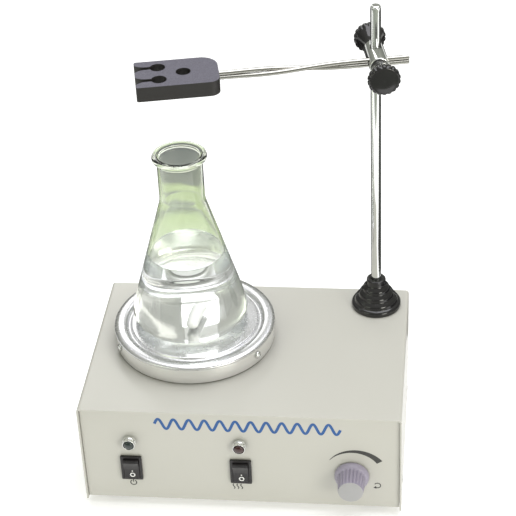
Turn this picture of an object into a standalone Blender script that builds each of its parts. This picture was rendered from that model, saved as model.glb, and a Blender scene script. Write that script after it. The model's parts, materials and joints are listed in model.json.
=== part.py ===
"""Heated magnetic stirrer with a conical flask, a support rod and a probe arm.

The housing is a sheet-metal cover over a sheet-metal tray. A motor under the cover turns a
magnet carrier below the aluminium hot plate, and the magnets drag the stir bar in the flask.
The rod carries a cross clamp (boss) with two knobs, and the boss carries a twisted wire arm
that ends in a probe holder.

Frame: +Z up, the floor at Z = 0, X to the right along the front panel, Y towards the back.
The origin is below the centre of the whole apparatus.
"""

from math import asin, atan2, cos, degrees, hypot, pi, radians, sin, tan

import bmesh
import bpy
from mathutils import Matrix, Vector

MM = 0.001
GAP = 0.3 * MM                    # air between pieces that touch on the real object

# Housing
HOUSING_W = 230.0 * MM
HOUSING_D = 155.0 * MM
HOUSING_H = 84.5 * MM
HOUSING_Y = 3.2 * MM              # centres the whole apparatus on the origin
SHEET = 1.2 * MM
BEND_R = 2.6 * MM
FOOT_H = 6.0 * MM
COVER_TOP = FOOT_H + HOUSING_H
FRONT_RECESS = 2.5 * MM
REAR_RECESS = 1.5 * MM
FRONT_Y = -HOUSING_D / 2 + FRONT_RECESS
REAR_Y = HOUSING_D / 2 - REAR_RECESS
TRAY_W = HOUSING_W - 2 * (SHEET + GAP)
FLANGE_H = 14.0 * MM
FOOT_R = 9.0 * MM
FOOT_X = 92.0 * MM
FOOT_Y = 56.0 * MM
SIDE_SCREW_Y = 52.0 * MM
SIDE_SCREW_Z = 8.5 * MM

# Hot plate, measured up from the top of the cover
PLATE_X = -41.0 * MM
PLATE_Y = 13.0 * MM
PLATE_R = 59.3 * MM
PLATE_TOP = 15.2 * MM
LIP_TOP = 16.0 * MM
LIP_BOTTOM = 12.8 * MM
PLATE_UNDERSIDE = 10.0 * MM
GROOVE_R = (47.0 * MM, 49.6 * MM)
GROOVE_DEPTH = 1.6 * MM
RIM_R = (53.0 * MM, 57.0 * MM)
RIM_BOTTOM = 4.0 * MM
SKIRT_R = 58.5 * MM
SKIRT_Z = (1.0 * MM, 12.5 * MM)
SKIRT_SCREW_Z = 8.0 * MM
SKIRT_SCREW_AZIMUTHS = (-32.0, -152.0, 88.0)
HEATER_R = (24.0 * MM, 42.0 * MM)
HEATER_Z = (6.7 * MM, 9.7 * MM)
PAD_Z = (2.2 * MM, 6.4 * MM)
STANDOFF_R = 47.5 * MM
STANDOFF_AZIMUTHS = (30.0, 150.0, 270.0)

# Drive
CARRIER_R = 18.0 * MM
CARRIER_Z = (1.4 * MM, 8.6 * MM)
MAGNET_R = 5.0 * MM
MAGNET_ORBIT = 11.5 * MM
MOTOR_R = 22.0 * MM
MOTOR_L = 42.0 * MM
SHAFT_R = 2.0 * MM

# Front panel, heights above the housing's bottom edge
SWITCH_Z = 31.0 * MM
SWITCH_X = {"power": -79.4 * MM, "heat": 0.0}
SWITCH_BEZEL = (15.5 * MM, 21.5 * MM, 2.0 * MM)
SWITCH_BODY = (13.0 * MM, 19.0 * MM, 17.0 * MM)
SWITCH_POCKET = (11.8 * MM, 17.8 * MM, 7.5 * MM)
ROCKER_W = 11.2 * MM
ROCKER_TILT = 10.0                # degrees each way from level
LAMP_Z = 55.2 * MM
LAMP_X = {"power": -79.2 * MM, "heat": 0.0}
KNOB_X = 79.7 * MM
KNOB_Z = 30.6 * MM
KNOB_L = 18.5 * MM
KNOB_SKIRT_R = 12.5 * MM
KNOB_FLUTES = 14
FLUTE_DEPTH = 0.6 * MM

# Rear panel
INLET_X = -70.0 * MM
INLET_Z = 28.0 * MM
INLET_PINS = {"live": (-7.0 * MM, -2.0 * MM), "neutral": (7.0 * MM, -2.0 * MM), "earth": (0.0, 2.0 * MM)}
PIN_W = 2.0 * MM
PIN_H = 4.0 * MM
FUSE_X = -30.0 * MM
FUSE_Z = 28.0 * MM

# Support rod, boss and arm
ROD_X = 90.9 * MM
ROD_Y = 58.9 * MM
ROD_R = 3.7 * MM
ROD_TOP = FOOT_H + 335.0 * MM
ROD_CLEAR = GAP
ARM_Z = FOOT_H + 297.0 * MM
ARM_ANGLE = 11.8                  # degrees; the arm's free end comes towards the front
ARM_OFFSET = 10.0 * MM            # the arm passes this far in front of the rod
WIRE_R = 1.6 * MM
WIRE_SPACING = 3.4 * MM
ARM_BORE_R = 3.65 * MM
ARM_RIGHT = 21.5 * MM
HOLDER_RIGHT = -109.5 * MM
HOLDER_L = 57.0 * MM
HOLDER_W = 36.5 * MM
HOLDER_H = 11.0 * MM
HOLDER_CORNERS = (7.0 * MM, 12.0 * MM)     # front and back, at the right end
HOLE_R = 5.0 * MM
KEYHOLE_R = 5.2 * MM
KEYHOLE_PITCH = 17.0 * MM
KEYHOLE_FROM_END = 16.0 * MM
SLOT_NECK = 3.4 * MM
SLOT_MOUTH = 10.0 * MM
WIRE_SOCKET = 12.0 * MM
BOSS_R = 7.0 * MM
BOSS_FRONT = 8.5 * MM             # along the boss axis from the arm, towards the front
BOSS_REAR = 20.0 * MM
CLAMP_SCREW_R = 2.4 * MM
CLAMP_RIM_R = 11.3 * MM
FRONT_CLAMP_END = 29.0 * MM
REAR_CLAMP_END = 40.0 * MM
SCALLOPS = 18
SCALLOP_DEPTH = 0.6 * MM

# Conical flask, 250 ml
FLASK_X = -44.5 * MM
FLASK_Y = 19.5 * MM
FLASK_Z = COVER_TOP + PLATE_TOP + GAP
FLASK_H = 139.0 * MM
FLASK_BASE_R = 42.4 * MM
FLASK_CORNER_R = 8.0 * MM
NECK_R = 16.25 * MM
NECK_Z = 100.2 * MM
RIM_BEAD_R = 19.5 * MM
GLASS = 1.9 * MM
LIQUID_LEVEL = 57.0 * MM
STIR_BAR_R = 4.0 * MM
STIR_BAR_L = 30.0 * MM

COLOURS = {                       # base colour, roughness, metallic
    "housing_paint": ((0.70, 0.68, 0.62), 0.35, 0.0),
    "aluminium": ((0.78, 0.78, 0.78), 0.30, 1.0),
    "chrome": ((0.80, 0.80, 0.80), 0.10, 1.0),
    "steel": ((0.60, 0.60, 0.60), 0.35, 1.0),
    "black_gloss": ((0.02, 0.02, 0.02), 0.15, 0.0),
    "black_matte": ((0.05, 0.05, 0.06), 0.55, 0.0),
    "rubber": ((0.03, 0.03, 0.03), 0.80, 0.0),
    "knob_grey": ((0.42, 0.40, 0.46), 0.45, 0.0),
    "lens_green": ((0.05, 0.09, 0.07), 0.10, 0.0),
    "lens_red": ((0.12, 0.03, 0.02), 0.10, 0.0),
    "magnet": ((0.25, 0.25, 0.26), 0.40, 1.0),
    "board_green": ((0.03, 0.18, 0.08), 0.50, 0.0),
    "mica": ((0.55, 0.48, 0.36), 0.60, 0.0),
    "fibre": ((0.80, 0.78, 0.72), 0.90, 0.0),
    "glass": ((0.90, 0.95, 0.92), 0.02, 0.0),
    "water": ((0.85, 0.92, 0.95), 0.02, 0.0),
    "ptfe": ((0.92, 0.92, 0.90), 0.40, 0.0),
}


def clear_scene():
    for obj in list(bpy.data.objects):
        bpy.data.objects.remove(obj, do_unlink=True)


def material(slot):
    found = bpy.data.materials.get(slot)
    if found:
        return found
    made = bpy.data.materials.new(slot)
    made.use_nodes = True
    shader = made.node_tree.nodes["Principled BSDF"]
    colour, roughness, metallic = COLOURS[slot]
    shader.inputs["Base Color"].default_value = (*colour, 1.0)
    shader.inputs["Roughness"].default_value = roughness
    shader.inputs["Metallic"].default_value = metallic
    if slot in ("glass", "water"):
        shader.inputs["Transmission Weight"].default_value = 1.0
    return made


def empty(name, parent=None, location=(0.0, 0.0, 0.0), turn=0.0):
    made = bpy.data.objects.new(name, None)
    bpy.context.scene.collection.objects.link(made)
    made.parent = parent
    made.location = location
    made.rotation_euler = (0.0, 0.0, radians(turn))
    return made


def node(name, bm, slot, parent, location=(0.0, 0.0, 0.0), rotation=(0.0, 0.0, 0.0), smooth=35.0):
    """Turn a bmesh into a named object; its faces point out and round sides shade smooth."""
    bmesh.ops.recalc_face_normals(bm, faces=bm.faces)
    mesh = bpy.data.meshes.new(name)
    bm.to_mesh(mesh)
    bm.free()
    if smooth:
        mesh.shade_smooth()
        mesh.set_sharp_from_angle(angle=radians(smooth))
    made = bpy.data.objects.new(name, mesh)
    bpy.context.scene.collection.objects.link(made)
    made.parent = parent
    made.location = location
    made.rotation_euler = rotation
    mesh.materials.append(material(slot))
    return made


def boolean(target, tool, operation="DIFFERENCE"):
    """Cut or join target with tool, which stays in the scene as a hidden guide."""
    tool.hide_render = True
    tool.display_type = "WIRE"
    modifier = target.modifiers.new(operation.lower(), "BOOLEAN")
    modifier.operation = operation
    modifier.solver = "EXACT"
    modifier.object = tool


def turned(profile, segments, closed=False):
    """Spin a list of (radius, height) points about Z.

    A closed profile makes a ring, or a solid with a blind bore if a side of it lies on the axis.
    """
    bm = bmesh.new()
    verts = [bm.verts.new((r, 0.0, z)) for r, z in profile]
    pairs = list(zip(verts, verts[1:]))
    if closed:
        pairs.append((verts[-1], verts[0]))
    off_axis = [pair for pair in pairs if pair[0].co.x > 0.0 or pair[1].co.x > 0.0]
    edges = [bm.edges.new(pair) for pair in off_axis]
    bmesh.ops.spin(bm, geom=verts + edges, axis=(0, 0, 1), cent=(0, 0, 0),
                   angle=2 * pi, steps=segments, use_merge=True)
    bmesh.ops.remove_doubles(bm, verts=bm.verts, dist=1e-7)
    return bm


def cylinder(radius, z0, z1, segments=16):
    return turned([(0.0, z1), (radius, z1), (radius, z0), (0.0, z0)], segments)


def ring(inner, outer, z0, z1, segments=32):
    return turned([(outer, z1), (outer, z0), (inner, z0), (inner, z1)], segments, closed=True)


def block(low, high):
    bm = bmesh.new()
    size = [b - a for a, b in zip(low, high)]
    centre = [(a + b) / 2 for a, b in zip(low, high)]
    bmesh.ops.create_cube(bm, size=1.0, matrix=Matrix.Translation(centre) @ Matrix.Diagonal((*size, 1.0)))
    return bm


def extruded(outline, depth):
    """Extrude a closed (x, y) outline up Z by depth."""
    bm = bmesh.new()
    face = bm.faces.new([bm.verts.new((x, y, 0.0)) for x, y in outline])
    raised = bmesh.ops.extrude_face_region(bm, geom=[face])["geom"]
    moved = [g for g in raised if isinstance(g, bmesh.types.BMVert)]
    bmesh.ops.translate(bm, verts=moved, vec=(0.0, 0.0, depth))
    return bm


def arc(cx, cy, radius, start, end, steps):
    """Points on an arc, both ends included; angles in degrees."""
    angles = [radians(start + (end - start) * i / steps) for i in range(steps + 1)]
    return [(cx + radius * cos(a), cy + radius * sin(a)) for a in angles]


def merge(bm, other):
    """Add other's geometry to bm."""
    mesh = bpy.data.meshes.new("merge")
    other.to_mesh(mesh)
    other.free()
    bm.from_mesh(mesh)
    bpy.data.meshes.remove(mesh)
    return bm


def placed(bm, location=(0.0, 0.0, 0.0), rotation=None):
    if rotation:
        bmesh.ops.rotate(bm, verts=bm.verts, cent=(0, 0, 0), matrix=rotation)
    bmesh.ops.translate(bm, verts=bm.verts, vec=location)
    return bm


TO_FRONT = Matrix.Rotation(radians(90), 3, "X")       # +Z to -Y: out of the front panel
TO_BACK = Matrix.Rotation(radians(-90), 3, "X")       # +Z to +Y: out of the rear panel


def on_azimuth(radius, azimuth):
    return radius * cos(radians(azimuth)), radius * sin(radians(azimuth))


def on_odd_step(vert, waves):
    """True for every second vertex round Z, on a shape that was turned in 2 * waves segments."""
    turn = atan2(vert.co.y, vert.co.x)
    return round(turn / (pi / waves)) % 2 == 1


# ---------------------------------------------------------------- housing

def channel(width, height, length):
    """A sheet folded to an upside-down U: width along X, height along Z, length along Y."""
    half = width / 2
    inner_r = BEND_R - SHEET
    outer = [(-half, 0.0)]
    outer += arc(-half + BEND_R, height - BEND_R, BEND_R, 180, 90, 3)
    outer += arc(half - BEND_R, height - BEND_R, BEND_R, 90, 0, 3)
    outer += [(half, 0.0)]
    inner = [(half - SHEET, 0.0)]
    inner += arc(half - BEND_R, height - BEND_R, inner_r, 0, 90, 3)
    inner += arc(-half + BEND_R, height - BEND_R, inner_r, 90, 180, 3)
    inner += [(-half + SHEET, 0.0)]
    bm = extruded(outer + inner, length)
    return placed(bm, (0.0, length / 2, 0.0), TO_FRONT)


def build_cover(frame):
    cover = node("top_cover", channel(HOUSING_W, HOUSING_H, HOUSING_D), "housing_paint", frame,
                 (0.0, 0.0, FOOT_H))
    top = HOUSING_H
    holes = cylinder(12.0 * MM, top - 8 * MM, top + 8 * MM, 24)
    placed(holes, (PLATE_X, PLATE_Y, 0.0))
    for azimuth in STANDOFF_AZIMUTHS:
        x, y = on_azimuth(STANDOFF_R, azimuth)
        merge(holes, placed(cylinder(2.1 * MM, top - 8 * MM, top + 8 * MM, 12),
                            (PLATE_X + x, PLATE_Y + y, 0.0)))
    merge(holes, placed(cylinder(ROD_R + ROD_CLEAR, top - 8 * MM, top + 8 * MM, 20),
                        (ROD_X, ROD_Y, 0.0)))
    boolean(cover, node("cover_holes", holes, "housing_paint", frame, (0.0, 0.0, FOOT_H)))
    boolean(cover, side_screw_holes("cover_side_holes", frame))


def side_screw_holes(name, frame):
    holes = bmesh.new()
    for y in (-SIDE_SCREW_Y, SIDE_SCREW_Y):
        bore = cylinder(1.8 * MM, -HOUSING_W / 2 - 5 * MM, HOUSING_W / 2 + 5 * MM, 10)
        merge(holes, placed(bore, (0.0, y, SIDE_SCREW_Z), Matrix.Rotation(radians(90), 3, "Y")))
    return node(name, holes, "steel", frame, (0.0, 0.0, FOOT_H))


def build_tray(frame):
    depth = REAR_Y - FRONT_Y
    height = HOUSING_H - SHEET - 3 * GAP
    body = channel(depth, height, TRAY_W)
    flip = Matrix.Rotation(radians(90), 3, "Z") @ Matrix.Rotation(radians(180), 3, "X")
    placed(body, (0.0, (FRONT_Y + REAR_Y) / 2, height), flip)
    tray = node("base_tray", body, "housing_paint", frame, (0.0, 0.0, FOOT_H))
    flanges = bmesh.new()
    for side in (-1, 1):
        edges = sorted((side * (TRAY_W / 2 - 0.1 * MM), side * (TRAY_W / 2 - 0.1 * MM - SHEET)))
        low = (edges[0], FRONT_Y + 6 * MM, 0.2 * MM)
        high = (edges[1], REAR_Y - 6 * MM, FLANGE_H)
        merge(flanges, block(low, high))
    boolean(tray, node("tray_flanges", flanges, "housing_paint", frame, (0.0, 0.0, FOOT_H)), "UNION")
    boolean(tray, side_screw_holes("tray_side_holes", frame))
    boolean(tray, node("panel_holes", panel_holes(), "steel", frame, (0.0, 0.0, FOOT_H)))
    feet = bmesh.new()
    for x, y in foot_places():
        merge(feet, placed(cylinder(2.8 * MM, -3 * MM, 5 * MM, 12), (x, y, 0.0)))
    boolean(tray, node("foot_holes", feet, "steel", frame, (0.0, 0.0, FOOT_H)))


def panel_holes():
    """Cutters for the switches, lamps and speed control in front, inlet and fuse behind."""
    holes = bmesh.new()
    width, height, _ = SWITCH_BODY
    for x in SWITCH_X.values():
        low = (x - width / 2 - GAP, FRONT_Y - 4 * MM, SWITCH_Z - height / 2 - GAP)
        high = (x + width / 2 + GAP, FRONT_Y + 4 * MM, SWITCH_Z + height / 2 + GAP)
        merge(holes, block(low, high))
    for x in LAMP_X.values():
        merge(holes, placed(cylinder(4.8 * MM, -4 * MM, 4 * MM, 16), (x, FRONT_Y, LAMP_Z), TO_FRONT))
    merge(holes, placed(cylinder(4.9 * MM, -4 * MM, 4 * MM, 16), (KNOB_X, FRONT_Y, KNOB_Z), TO_FRONT))
    low = (INLET_X - 13.8 * MM, REAR_Y - 4 * MM, INLET_Z - 10.1 * MM)
    high = (INLET_X + 13.8 * MM, REAR_Y + 4 * MM, INLET_Z + 10.1 * MM)
    merge(holes, block(low, high))
    merge(holes, placed(cylinder(6.3 * MM, -4 * MM, 4 * MM, 20), (FUSE_X, REAR_Y, FUSE_Z), TO_BACK))
    return holes


def foot_places():
    return [(x, y) for y in (-FOOT_Y, FOOT_Y) for x in (-FOOT_X, FOOT_X)]


def build_feet(frame):
    """Turned rubber feet, each with a stem that snaps through the tray."""
    profile = [(0.0, 8.5 * MM), (2.4 * MM, 8.5 * MM), (2.4 * MM, FOOT_H - GAP),
               (FOOT_R, FOOT_H - GAP), (FOOT_R - 1.2 * MM, 0.0), (0.0, 0.0)]
    for number, (x, y) in enumerate(foot_places(), 1):
        node(f"rubber_foot_{number}", turned(profile, 14), "rubber", frame, (x, y, 0.0))


def screw(head_r, head_h, shank_r, shank_l, segments=10):
    """A pan-head screw standing on Z = 0, its shank pointing down from there."""
    profile = [(0.0, head_h), (head_r * 0.75, head_h), (head_r, 0.0),
               (shank_r, 0.0), (shank_r, -shank_l), (0.0, -shank_l)]
    return turned(profile, segments)


def build_cover_screws(frame):
    number = 0
    for side in (-1, 1):
        for y in (-SIDE_SCREW_Y, SIDE_SCREW_Y):
            number += 1
            turn = Matrix.Rotation(radians(90 * side), 3, "Y")
            bm = placed(screw(2.9 * MM, 0.6 * MM, 1.5 * MM, 5.0 * MM), rotation=turn)
            x = side * (HOUSING_W / 2 + GAP)
            node(f"cover_screw_{number}", bm, "chrome", frame, (x, y, FOOT_H + SIDE_SCREW_Z))


# ---------------------------------------------------------------- hot plate and drive

def build_hot_plate(frame):
    """A cast plate with a rounded lip, a groove inside the lip and a rim hanging below it."""
    lip_crown = 54.6 * MM
    lip_r = (LIP_TOP - LIP_BOTTOM) * 0.62
    profile = [(0.0, PLATE_TOP), (GROOVE_R[0], PLATE_TOP),
               (GROOVE_R[0] + 0.5 * MM, PLATE_TOP - GROOVE_DEPTH),
               (GROOVE_R[1] - 0.5 * MM, PLATE_TOP - GROOVE_DEPTH),
               (GROOVE_R[1] + 0.3 * MM, PLATE_TOP - 0.3 * MM),
               (51.6 * MM, LIP_TOP - 0.25 * MM), (lip_crown, LIP_TOP)]
    profile += arc(PLATE_R - lip_r, LIP_TOP - 0.25 * MM - lip_r, lip_r, 80, 0, 3)
    profile += [(PLATE_R, LIP_BOTTOM), (RIM_R[1], LIP_BOTTOM), (RIM_R[1], RIM_BOTTOM),
                (RIM_R[0], RIM_BOTTOM), (RIM_R[0], PLATE_UNDERSIDE), (0.0, PLATE_UNDERSIDE)]
    plate = node("hot_plate", turned(profile, 40), "aluminium", frame)
    skirt = node("plate_skirt", ring(RIM_R[1] + GAP, SKIRT_R, *SKIRT_Z, 40), "aluminium", frame)
    holes = bmesh.new()
    for number, azimuth in enumerate(SKIRT_SCREW_AZIMUTHS, 1):
        outward = Matrix.Rotation(radians(azimuth), 3, "Z") @ Matrix.Rotation(radians(90), 3, "Y")
        x, y = on_azimuth(SKIRT_R + GAP, azimuth)
        place = (x, y, SKIRT_SCREW_Z)
        merge(holes, placed(cylinder(1.8 * MM, -9 * MM, 3 * MM, 10), place, outward))
        bm = placed(screw(2.9 * MM, 2.0 * MM, 1.5 * MM, 4.6 * MM), rotation=outward)
        node(f"skirt_screw_{number}", bm, "chrome", frame, place)
    tool = node("skirt_screw_holes", holes, "steel", frame)
    boolean(plate, tool)
    boolean(skirt, tool)


def build_plate_support(frame):
    node("heater_element", ring(*HEATER_R, *HEATER_Z, 24), "mica", frame)
    node("insulation_pad", ring(*HEATER_R, *PAD_Z, 24), "fibre", frame)
    profile = [(0.0, PLATE_UNDERSIDE - GAP), (3.2 * MM, PLATE_UNDERSIDE - GAP), (3.2 * MM, GAP),
               (1.8 * MM, GAP), (1.8 * MM, -7 * MM), (0.0, -7 * MM)]
    for number, azimuth in enumerate(STANDOFF_AZIMUTHS, 1):
        x, y = on_azimuth(STANDOFF_R, azimuth)
        node(f"plate_standoff_{number}", turned(profile, 12), "steel", frame, (x, y, 0.0))


def build_drive(frame):
    """Bracket and motor under the cover; shaft, carrier and magnets turn about the plate's axis."""
    bracket_top = -SHEET - GAP
    bracket_bottom = bracket_top - 1.6 * MM
    bracket = node("motor_bracket", block((-34 * MM, -26 * MM, bracket_bottom),
                                          (34 * MM, 26 * MM, bracket_top)), "steel", frame)
    boolean(bracket, node("bracket_hole", cylinder(6.5 * MM, -9 * MM, 3 * MM, 20), "steel", frame))
    top = bracket_bottom - GAP
    motor = [(SHAFT_R + GAP, top + 1.2 * MM), (5.8 * MM, top + 1.2 * MM), (5.8 * MM, top),
             (MOTOR_R, top), (MOTOR_R, top - MOTOR_L), (7.0 * MM, top - MOTOR_L),
             (7.0 * MM, top - MOTOR_L - 3 * MM), (0.0, top - MOTOR_L - 3 * MM)]
    motor += [(0.0, top - 14 * MM), (SHAFT_R + GAP, top - 14 * MM)]
    node("drive_motor", turned(motor, 20, closed=True), "steel", frame)
    shaft_top = CARRIER_Z[1] - 2.0 * MM
    node("motor_shaft", cylinder(SHAFT_R, top - 13 * MM, shaft_top, 14), "steel", frame)
    carrier = [(0.0, CARRIER_Z[1]), (CARRIER_R, CARRIER_Z[1]), (CARRIER_R, CARRIER_Z[0]),
               (SHAFT_R + GAP, CARRIER_Z[0]), (SHAFT_R + GAP, shaft_top + GAP),
               (0.0, shaft_top + GAP)]
    disc = node("magnet_carrier", turned(carrier, 20), "black_matte", frame)
    pockets = bmesh.new()
    for number, side in enumerate((-1, 1), 1):
        x = side * MAGNET_ORBIT
        floor = CARRIER_Z[0] + 1.6 * MM
        merge(pockets, placed(cylinder(MAGNET_R + GAP, floor, CARRIER_Z[1] + 3 * MM, 14), (x, 0.0, 0.0)))
        magnet = cylinder(MAGNET_R, floor + GAP, CARRIER_Z[1], 12)
        node(f"drive_magnet_{number}", magnet, "magnet", frame, (x, 0.0, 0.0))
    boolean(disc, node("magnet_pockets", pockets, "magnet", frame))


# ---------------------------------------------------------------- front and rear panels

def rocker_outline():
    """Side view of a rocker about its pivot, level: a shallow V in front, round ends."""
    reach = 8.0 * MM
    front = 1.6 * MM
    end = front + reach * tan(radians(ROCKER_TILT))
    radius = hypot(reach, end)
    right = arc(0.0, 0.0, radius, degrees(atan2(end, reach)), -20, 3)
    left = [(-x, y) for x, y in reversed(right)]
    return [(0.0, front)] + right + [(5.0 * MM, -3.4 * MM), (-5.0 * MM, -3.4 * MM)] + left


def build_switch(name, x, frame):
    """A snap-in rocker switch; its bottom half is pressed at rest."""
    spot = empty(f"{name}_switch", frame, (x, FRONT_Y, FOOT_H + SWITCH_Z))
    bezel_w, bezel_h, bezel_t = SWITCH_BEZEL
    body_w, body_h, body_l = SWITCH_BODY
    flange = block((-bezel_w / 2, -GAP - bezel_t, -bezel_h / 2), (bezel_w / 2, -GAP, bezel_h / 2))
    housing = node(f"{name}_switch_housing", flange, "black_gloss", spot)
    body = block((-body_w / 2, -GAP - bezel_t / 2, -body_h / 2), (body_w / 2, body_l, body_h / 2))
    boolean(housing, node(f"{name}_switch_body", body, "black_gloss", spot), "UNION")
    blades = bmesh.new()
    for z in (-6.0 * MM, 0.0):
        low = (-2.4 * MM, body_l - 2 * MM, z - 0.4 * MM)
        high = (2.4 * MM, body_l + 8 * MM, z + 0.4 * MM)
        merge(blades, block(low, high))
    boolean(housing, node(f"{name}_switch_blades", blades, "steel", spot), "UNION")
    pocket_w, pocket_h, pocket_d = SWITCH_POCKET
    front = -GAP - bezel_t
    pocket = block((-pocket_w / 2, front - 2 * MM, -pocket_h / 2),
                   (pocket_w / 2, front + pocket_d, pocket_h / 2))
    boolean(housing, node(f"{name}_switch_pocket", pocket, "black_gloss", spot))
    pivot = 1.0 * MM
    rocker = extruded(rocker_outline(), ROCKER_W)
    stand = Matrix(((0, 0, 1), (0, -1, 0), (1, 0, 0)))
    placed(rocker, (-ROCKER_W / 2, 0.0, 0.0), stand)
    placed(rocker, rotation=Matrix.Rotation(radians(ROCKER_TILT), 3, "X"))
    node(f"{name}_rocker", rocker, "black_gloss", spot, (0.0, front + pivot, 0.0))


def build_lamp(name, x, slot, frame):
    """A stepped chrome bezel round a domed lens."""
    spot = empty(f"{name}_lamp", frame, (x, FRONT_Y, FOOT_H + LAMP_Z))
    bezel = [(5.15 * MM, GAP), (5.15 * MM, 2.6 * MM), (4.9 * MM, 3.0 * MM), (4.5 * MM, 3.2 * MM),
             (4.4 * MM, 5.3 * MM), (3.9 * MM, 5.5 * MM), (3.9 * MM, -6 * MM), (4.5 * MM, -6 * MM),
             (4.5 * MM, GAP)]
    node(f"{name}_lamp_bezel", placed(turned(bezel, 14, closed=True), rotation=TO_FRONT), "chrome", spot)
    lens = [(0.0, 7.0 * MM), (1.6 * MM, 6.8 * MM), (2.8 * MM, 6.1 * MM), (3.6 * MM, 5.0 * MM),
            (3.6 * MM, -9 * MM), (0.0, -9 * MM)]
    node(f"{name}_lamp_lens", placed(turned(lens, 12), rotation=TO_FRONT), slot, spot)


def build_speed_control(frame):
    """Potentiometer behind the panel; its shaft and the fluted knob turn together."""
    spot = empty("speed_control", frame, (KNOB_X, FRONT_Y, FOOT_H + KNOB_Z))
    behind = -SHEET - GAP
    pot = [(3.3 * MM, 4.0 * MM), (4.6 * MM, 4.0 * MM), (4.6 * MM, behind), (8.2 * MM, behind),
           (8.2 * MM, behind - 10 * MM), (3.3 * MM, behind - 10 * MM)]
    node("potentiometer", placed(turned(pot, 16, closed=True), rotation=TO_FRONT), "steel", spot)
    shaft = cylinder(3.0 * MM, behind - 11 * MM, KNOB_L - 5 * MM, 14)
    node("pot_shaft", placed(shaft, rotation=TO_FRONT), "steel", spot)
    foot = 0.8 * MM
    knob = [(0.0, KNOB_L), (8.4 * MM, KNOB_L), (8.8 * MM, KNOB_L - 0.4 * MM),
            (10.2 * MM, 5.2 * MM), (KNOB_SKIRT_R - 0.8 * MM, 4.2 * MM), (KNOB_SKIRT_R, 3.2 * MM),
            (KNOB_SKIRT_R, foot), (6.5 * MM, foot), (6.5 * MM, 5.2 * MM), (3.3 * MM, 5.2 * MM),
            (3.3 * MM, KNOB_L - 4.6 * MM), (0.0, KNOB_L - 4.6 * MM)]
    bm = turned(knob, 2 * KNOB_FLUTES)
    for vert in bm.verts:
        reach = hypot(vert.co.x, vert.co.y)
        on_grip = 8.5 * MM < reach < 10.6 * MM and vert.co.z > 5 * MM
        if on_grip and on_odd_step(vert, KNOB_FLUTES):
            vert.co.xy *= (reach - FLUTE_DEPTH) / reach
    node("speed_knob", placed(bm, rotation=TO_FRONT), "knob_grey", spot)


def build_inlet(frame):
    """An appliance inlet on the rear panel; three pins pass through the floor of its recess."""
    spot = empty("inlet", frame, (INLET_X, REAR_Y, FOOT_H + INLET_Z))
    flange = block((-15.3 * MM, GAP, -11.5 * MM), (15.3 * MM, GAP + 2.6 * MM, 11.5 * MM))
    shell = node("power_inlet", flange, "black_matte", spot)
    body = block((-13.4 * MM, -20 * MM, -9.7 * MM), (13.4 * MM, GAP + 1 * MM, 9.7 * MM))
    boolean(shell, node("inlet_body", body, "black_matte", spot), "UNION")
    outline = [(-12 * MM, -8.2 * MM), (12 * MM, -8.2 * MM), (12 * MM, 3.2 * MM),
               (7.5 * MM, 8.2 * MM), (-7.5 * MM, 8.2 * MM), (-12 * MM, 3.2 * MM)]
    recess = placed(extruded(outline, 25 * MM), (0.0, 8 * MM, 0.0), TO_FRONT)
    boolean(shell, node("inlet_recess", recess, "black_matte", spot))
    pin_holes = bmesh.new()
    for name, (x, z) in INLET_PINS.items():
        low = Vector((x - PIN_W / 2, -27 * MM, z - PIN_H / 2))
        high = Vector((x + PIN_W / 2, -3 * MM, z + PIN_H / 2))
        node(f"inlet_pin_{name}", block(low, high), "steel", spot)
        room = Vector((GAP, 0.0, GAP))
        merge(pin_holes, block(low - room, high + room))
    boolean(shell, node("inlet_pin_holes", pin_holes, "black_matte", spot))


def build_fuse(frame):
    """A panel fuse holder with a slotted bayonet cap."""
    spot = empty("fuse", frame, (FUSE_X, REAR_Y, FOOT_H + FUSE_Z))
    holder = [(7.5 * MM, GAP), (7.5 * MM, 2.0 * MM), (4.3 * MM, 2.0 * MM), (4.3 * MM, -12 * MM),
              (6.0 * MM, -12 * MM), (6.0 * MM, GAP)]
    node("fuse_holder", placed(turned(holder, 16, closed=True), rotation=TO_BACK), "black_matte", spot)
    cap = [(0.0, 5.0 * MM), (5.4 * MM, 5.0 * MM), (6.0 * MM, 4.4 * MM), (6.0 * MM, 2.4 * MM),
           (4.0 * MM, 2.4 * MM), (4.0 * MM, -11 * MM), (0.0, -11 * MM)]
    part = node("fuse_cap", placed(turned(cap, 16), rotation=TO_BACK), "black_matte", spot)
    slot = block((-8 * MM, 4.0 * MM, -0.7 * MM), (8 * MM, 8 * MM, 0.7 * MM))
    boolean(part, node("fuse_slot", slot, "black_matte", spot))


def build_electronics(frame):
    """Speed and heat control board on its own legs, and the supply transformer beside it."""
    floor = FOOT_H + SHEET + GAP
    low = Vector((10 * MM, -50 * MM, floor + 8 * MM))
    size = Vector((80 * MM, 56 * MM, 1.6 * MM))
    board = node("circuit_board", block(low, low + size), "board_green", frame)
    fittings = bmesh.new()
    for x in (4 * MM, size.x - 4 * MM):
        for y in (4 * MM, size.y - 4 * MM):
            leg = placed(cylinder(2.4 * MM, floor, low.z + 0.8 * MM, 10), (low.x + x, low.y + y, 0.0))
            merge(fittings, leg)
    components = ((14, 34, 12, 16, 20), (36, 36, 9, 9, 14), (56, 26, 16, 10, 12), (30, 12, 18, 8, 6))
    for x, y, w, d, h in components:
        corner = low + Vector((x * MM, y * MM, 0.8 * MM))
        merge(fittings, block(corner, corner + Vector((w * MM, d * MM, h * MM))))
    boolean(board, node("board_fittings", fittings, "board_green", frame), "UNION")
    core_low = Vector((30 * MM, 22 * MM, floor))
    core_high = core_low + Vector((46 * MM, 18 * MM, 38 * MM))
    core = node("transformer", block(core_low, core_high), "steel", frame)
    coil_low = core_low + Vector((8 * MM, -8 * MM, 7 * MM))
    coil = block(coil_low, coil_low + Vector((30 * MM, 34 * MM, 24 * MM)))
    boolean(core, node("transformer_coil", coil, "steel", frame), "UNION")


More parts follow.
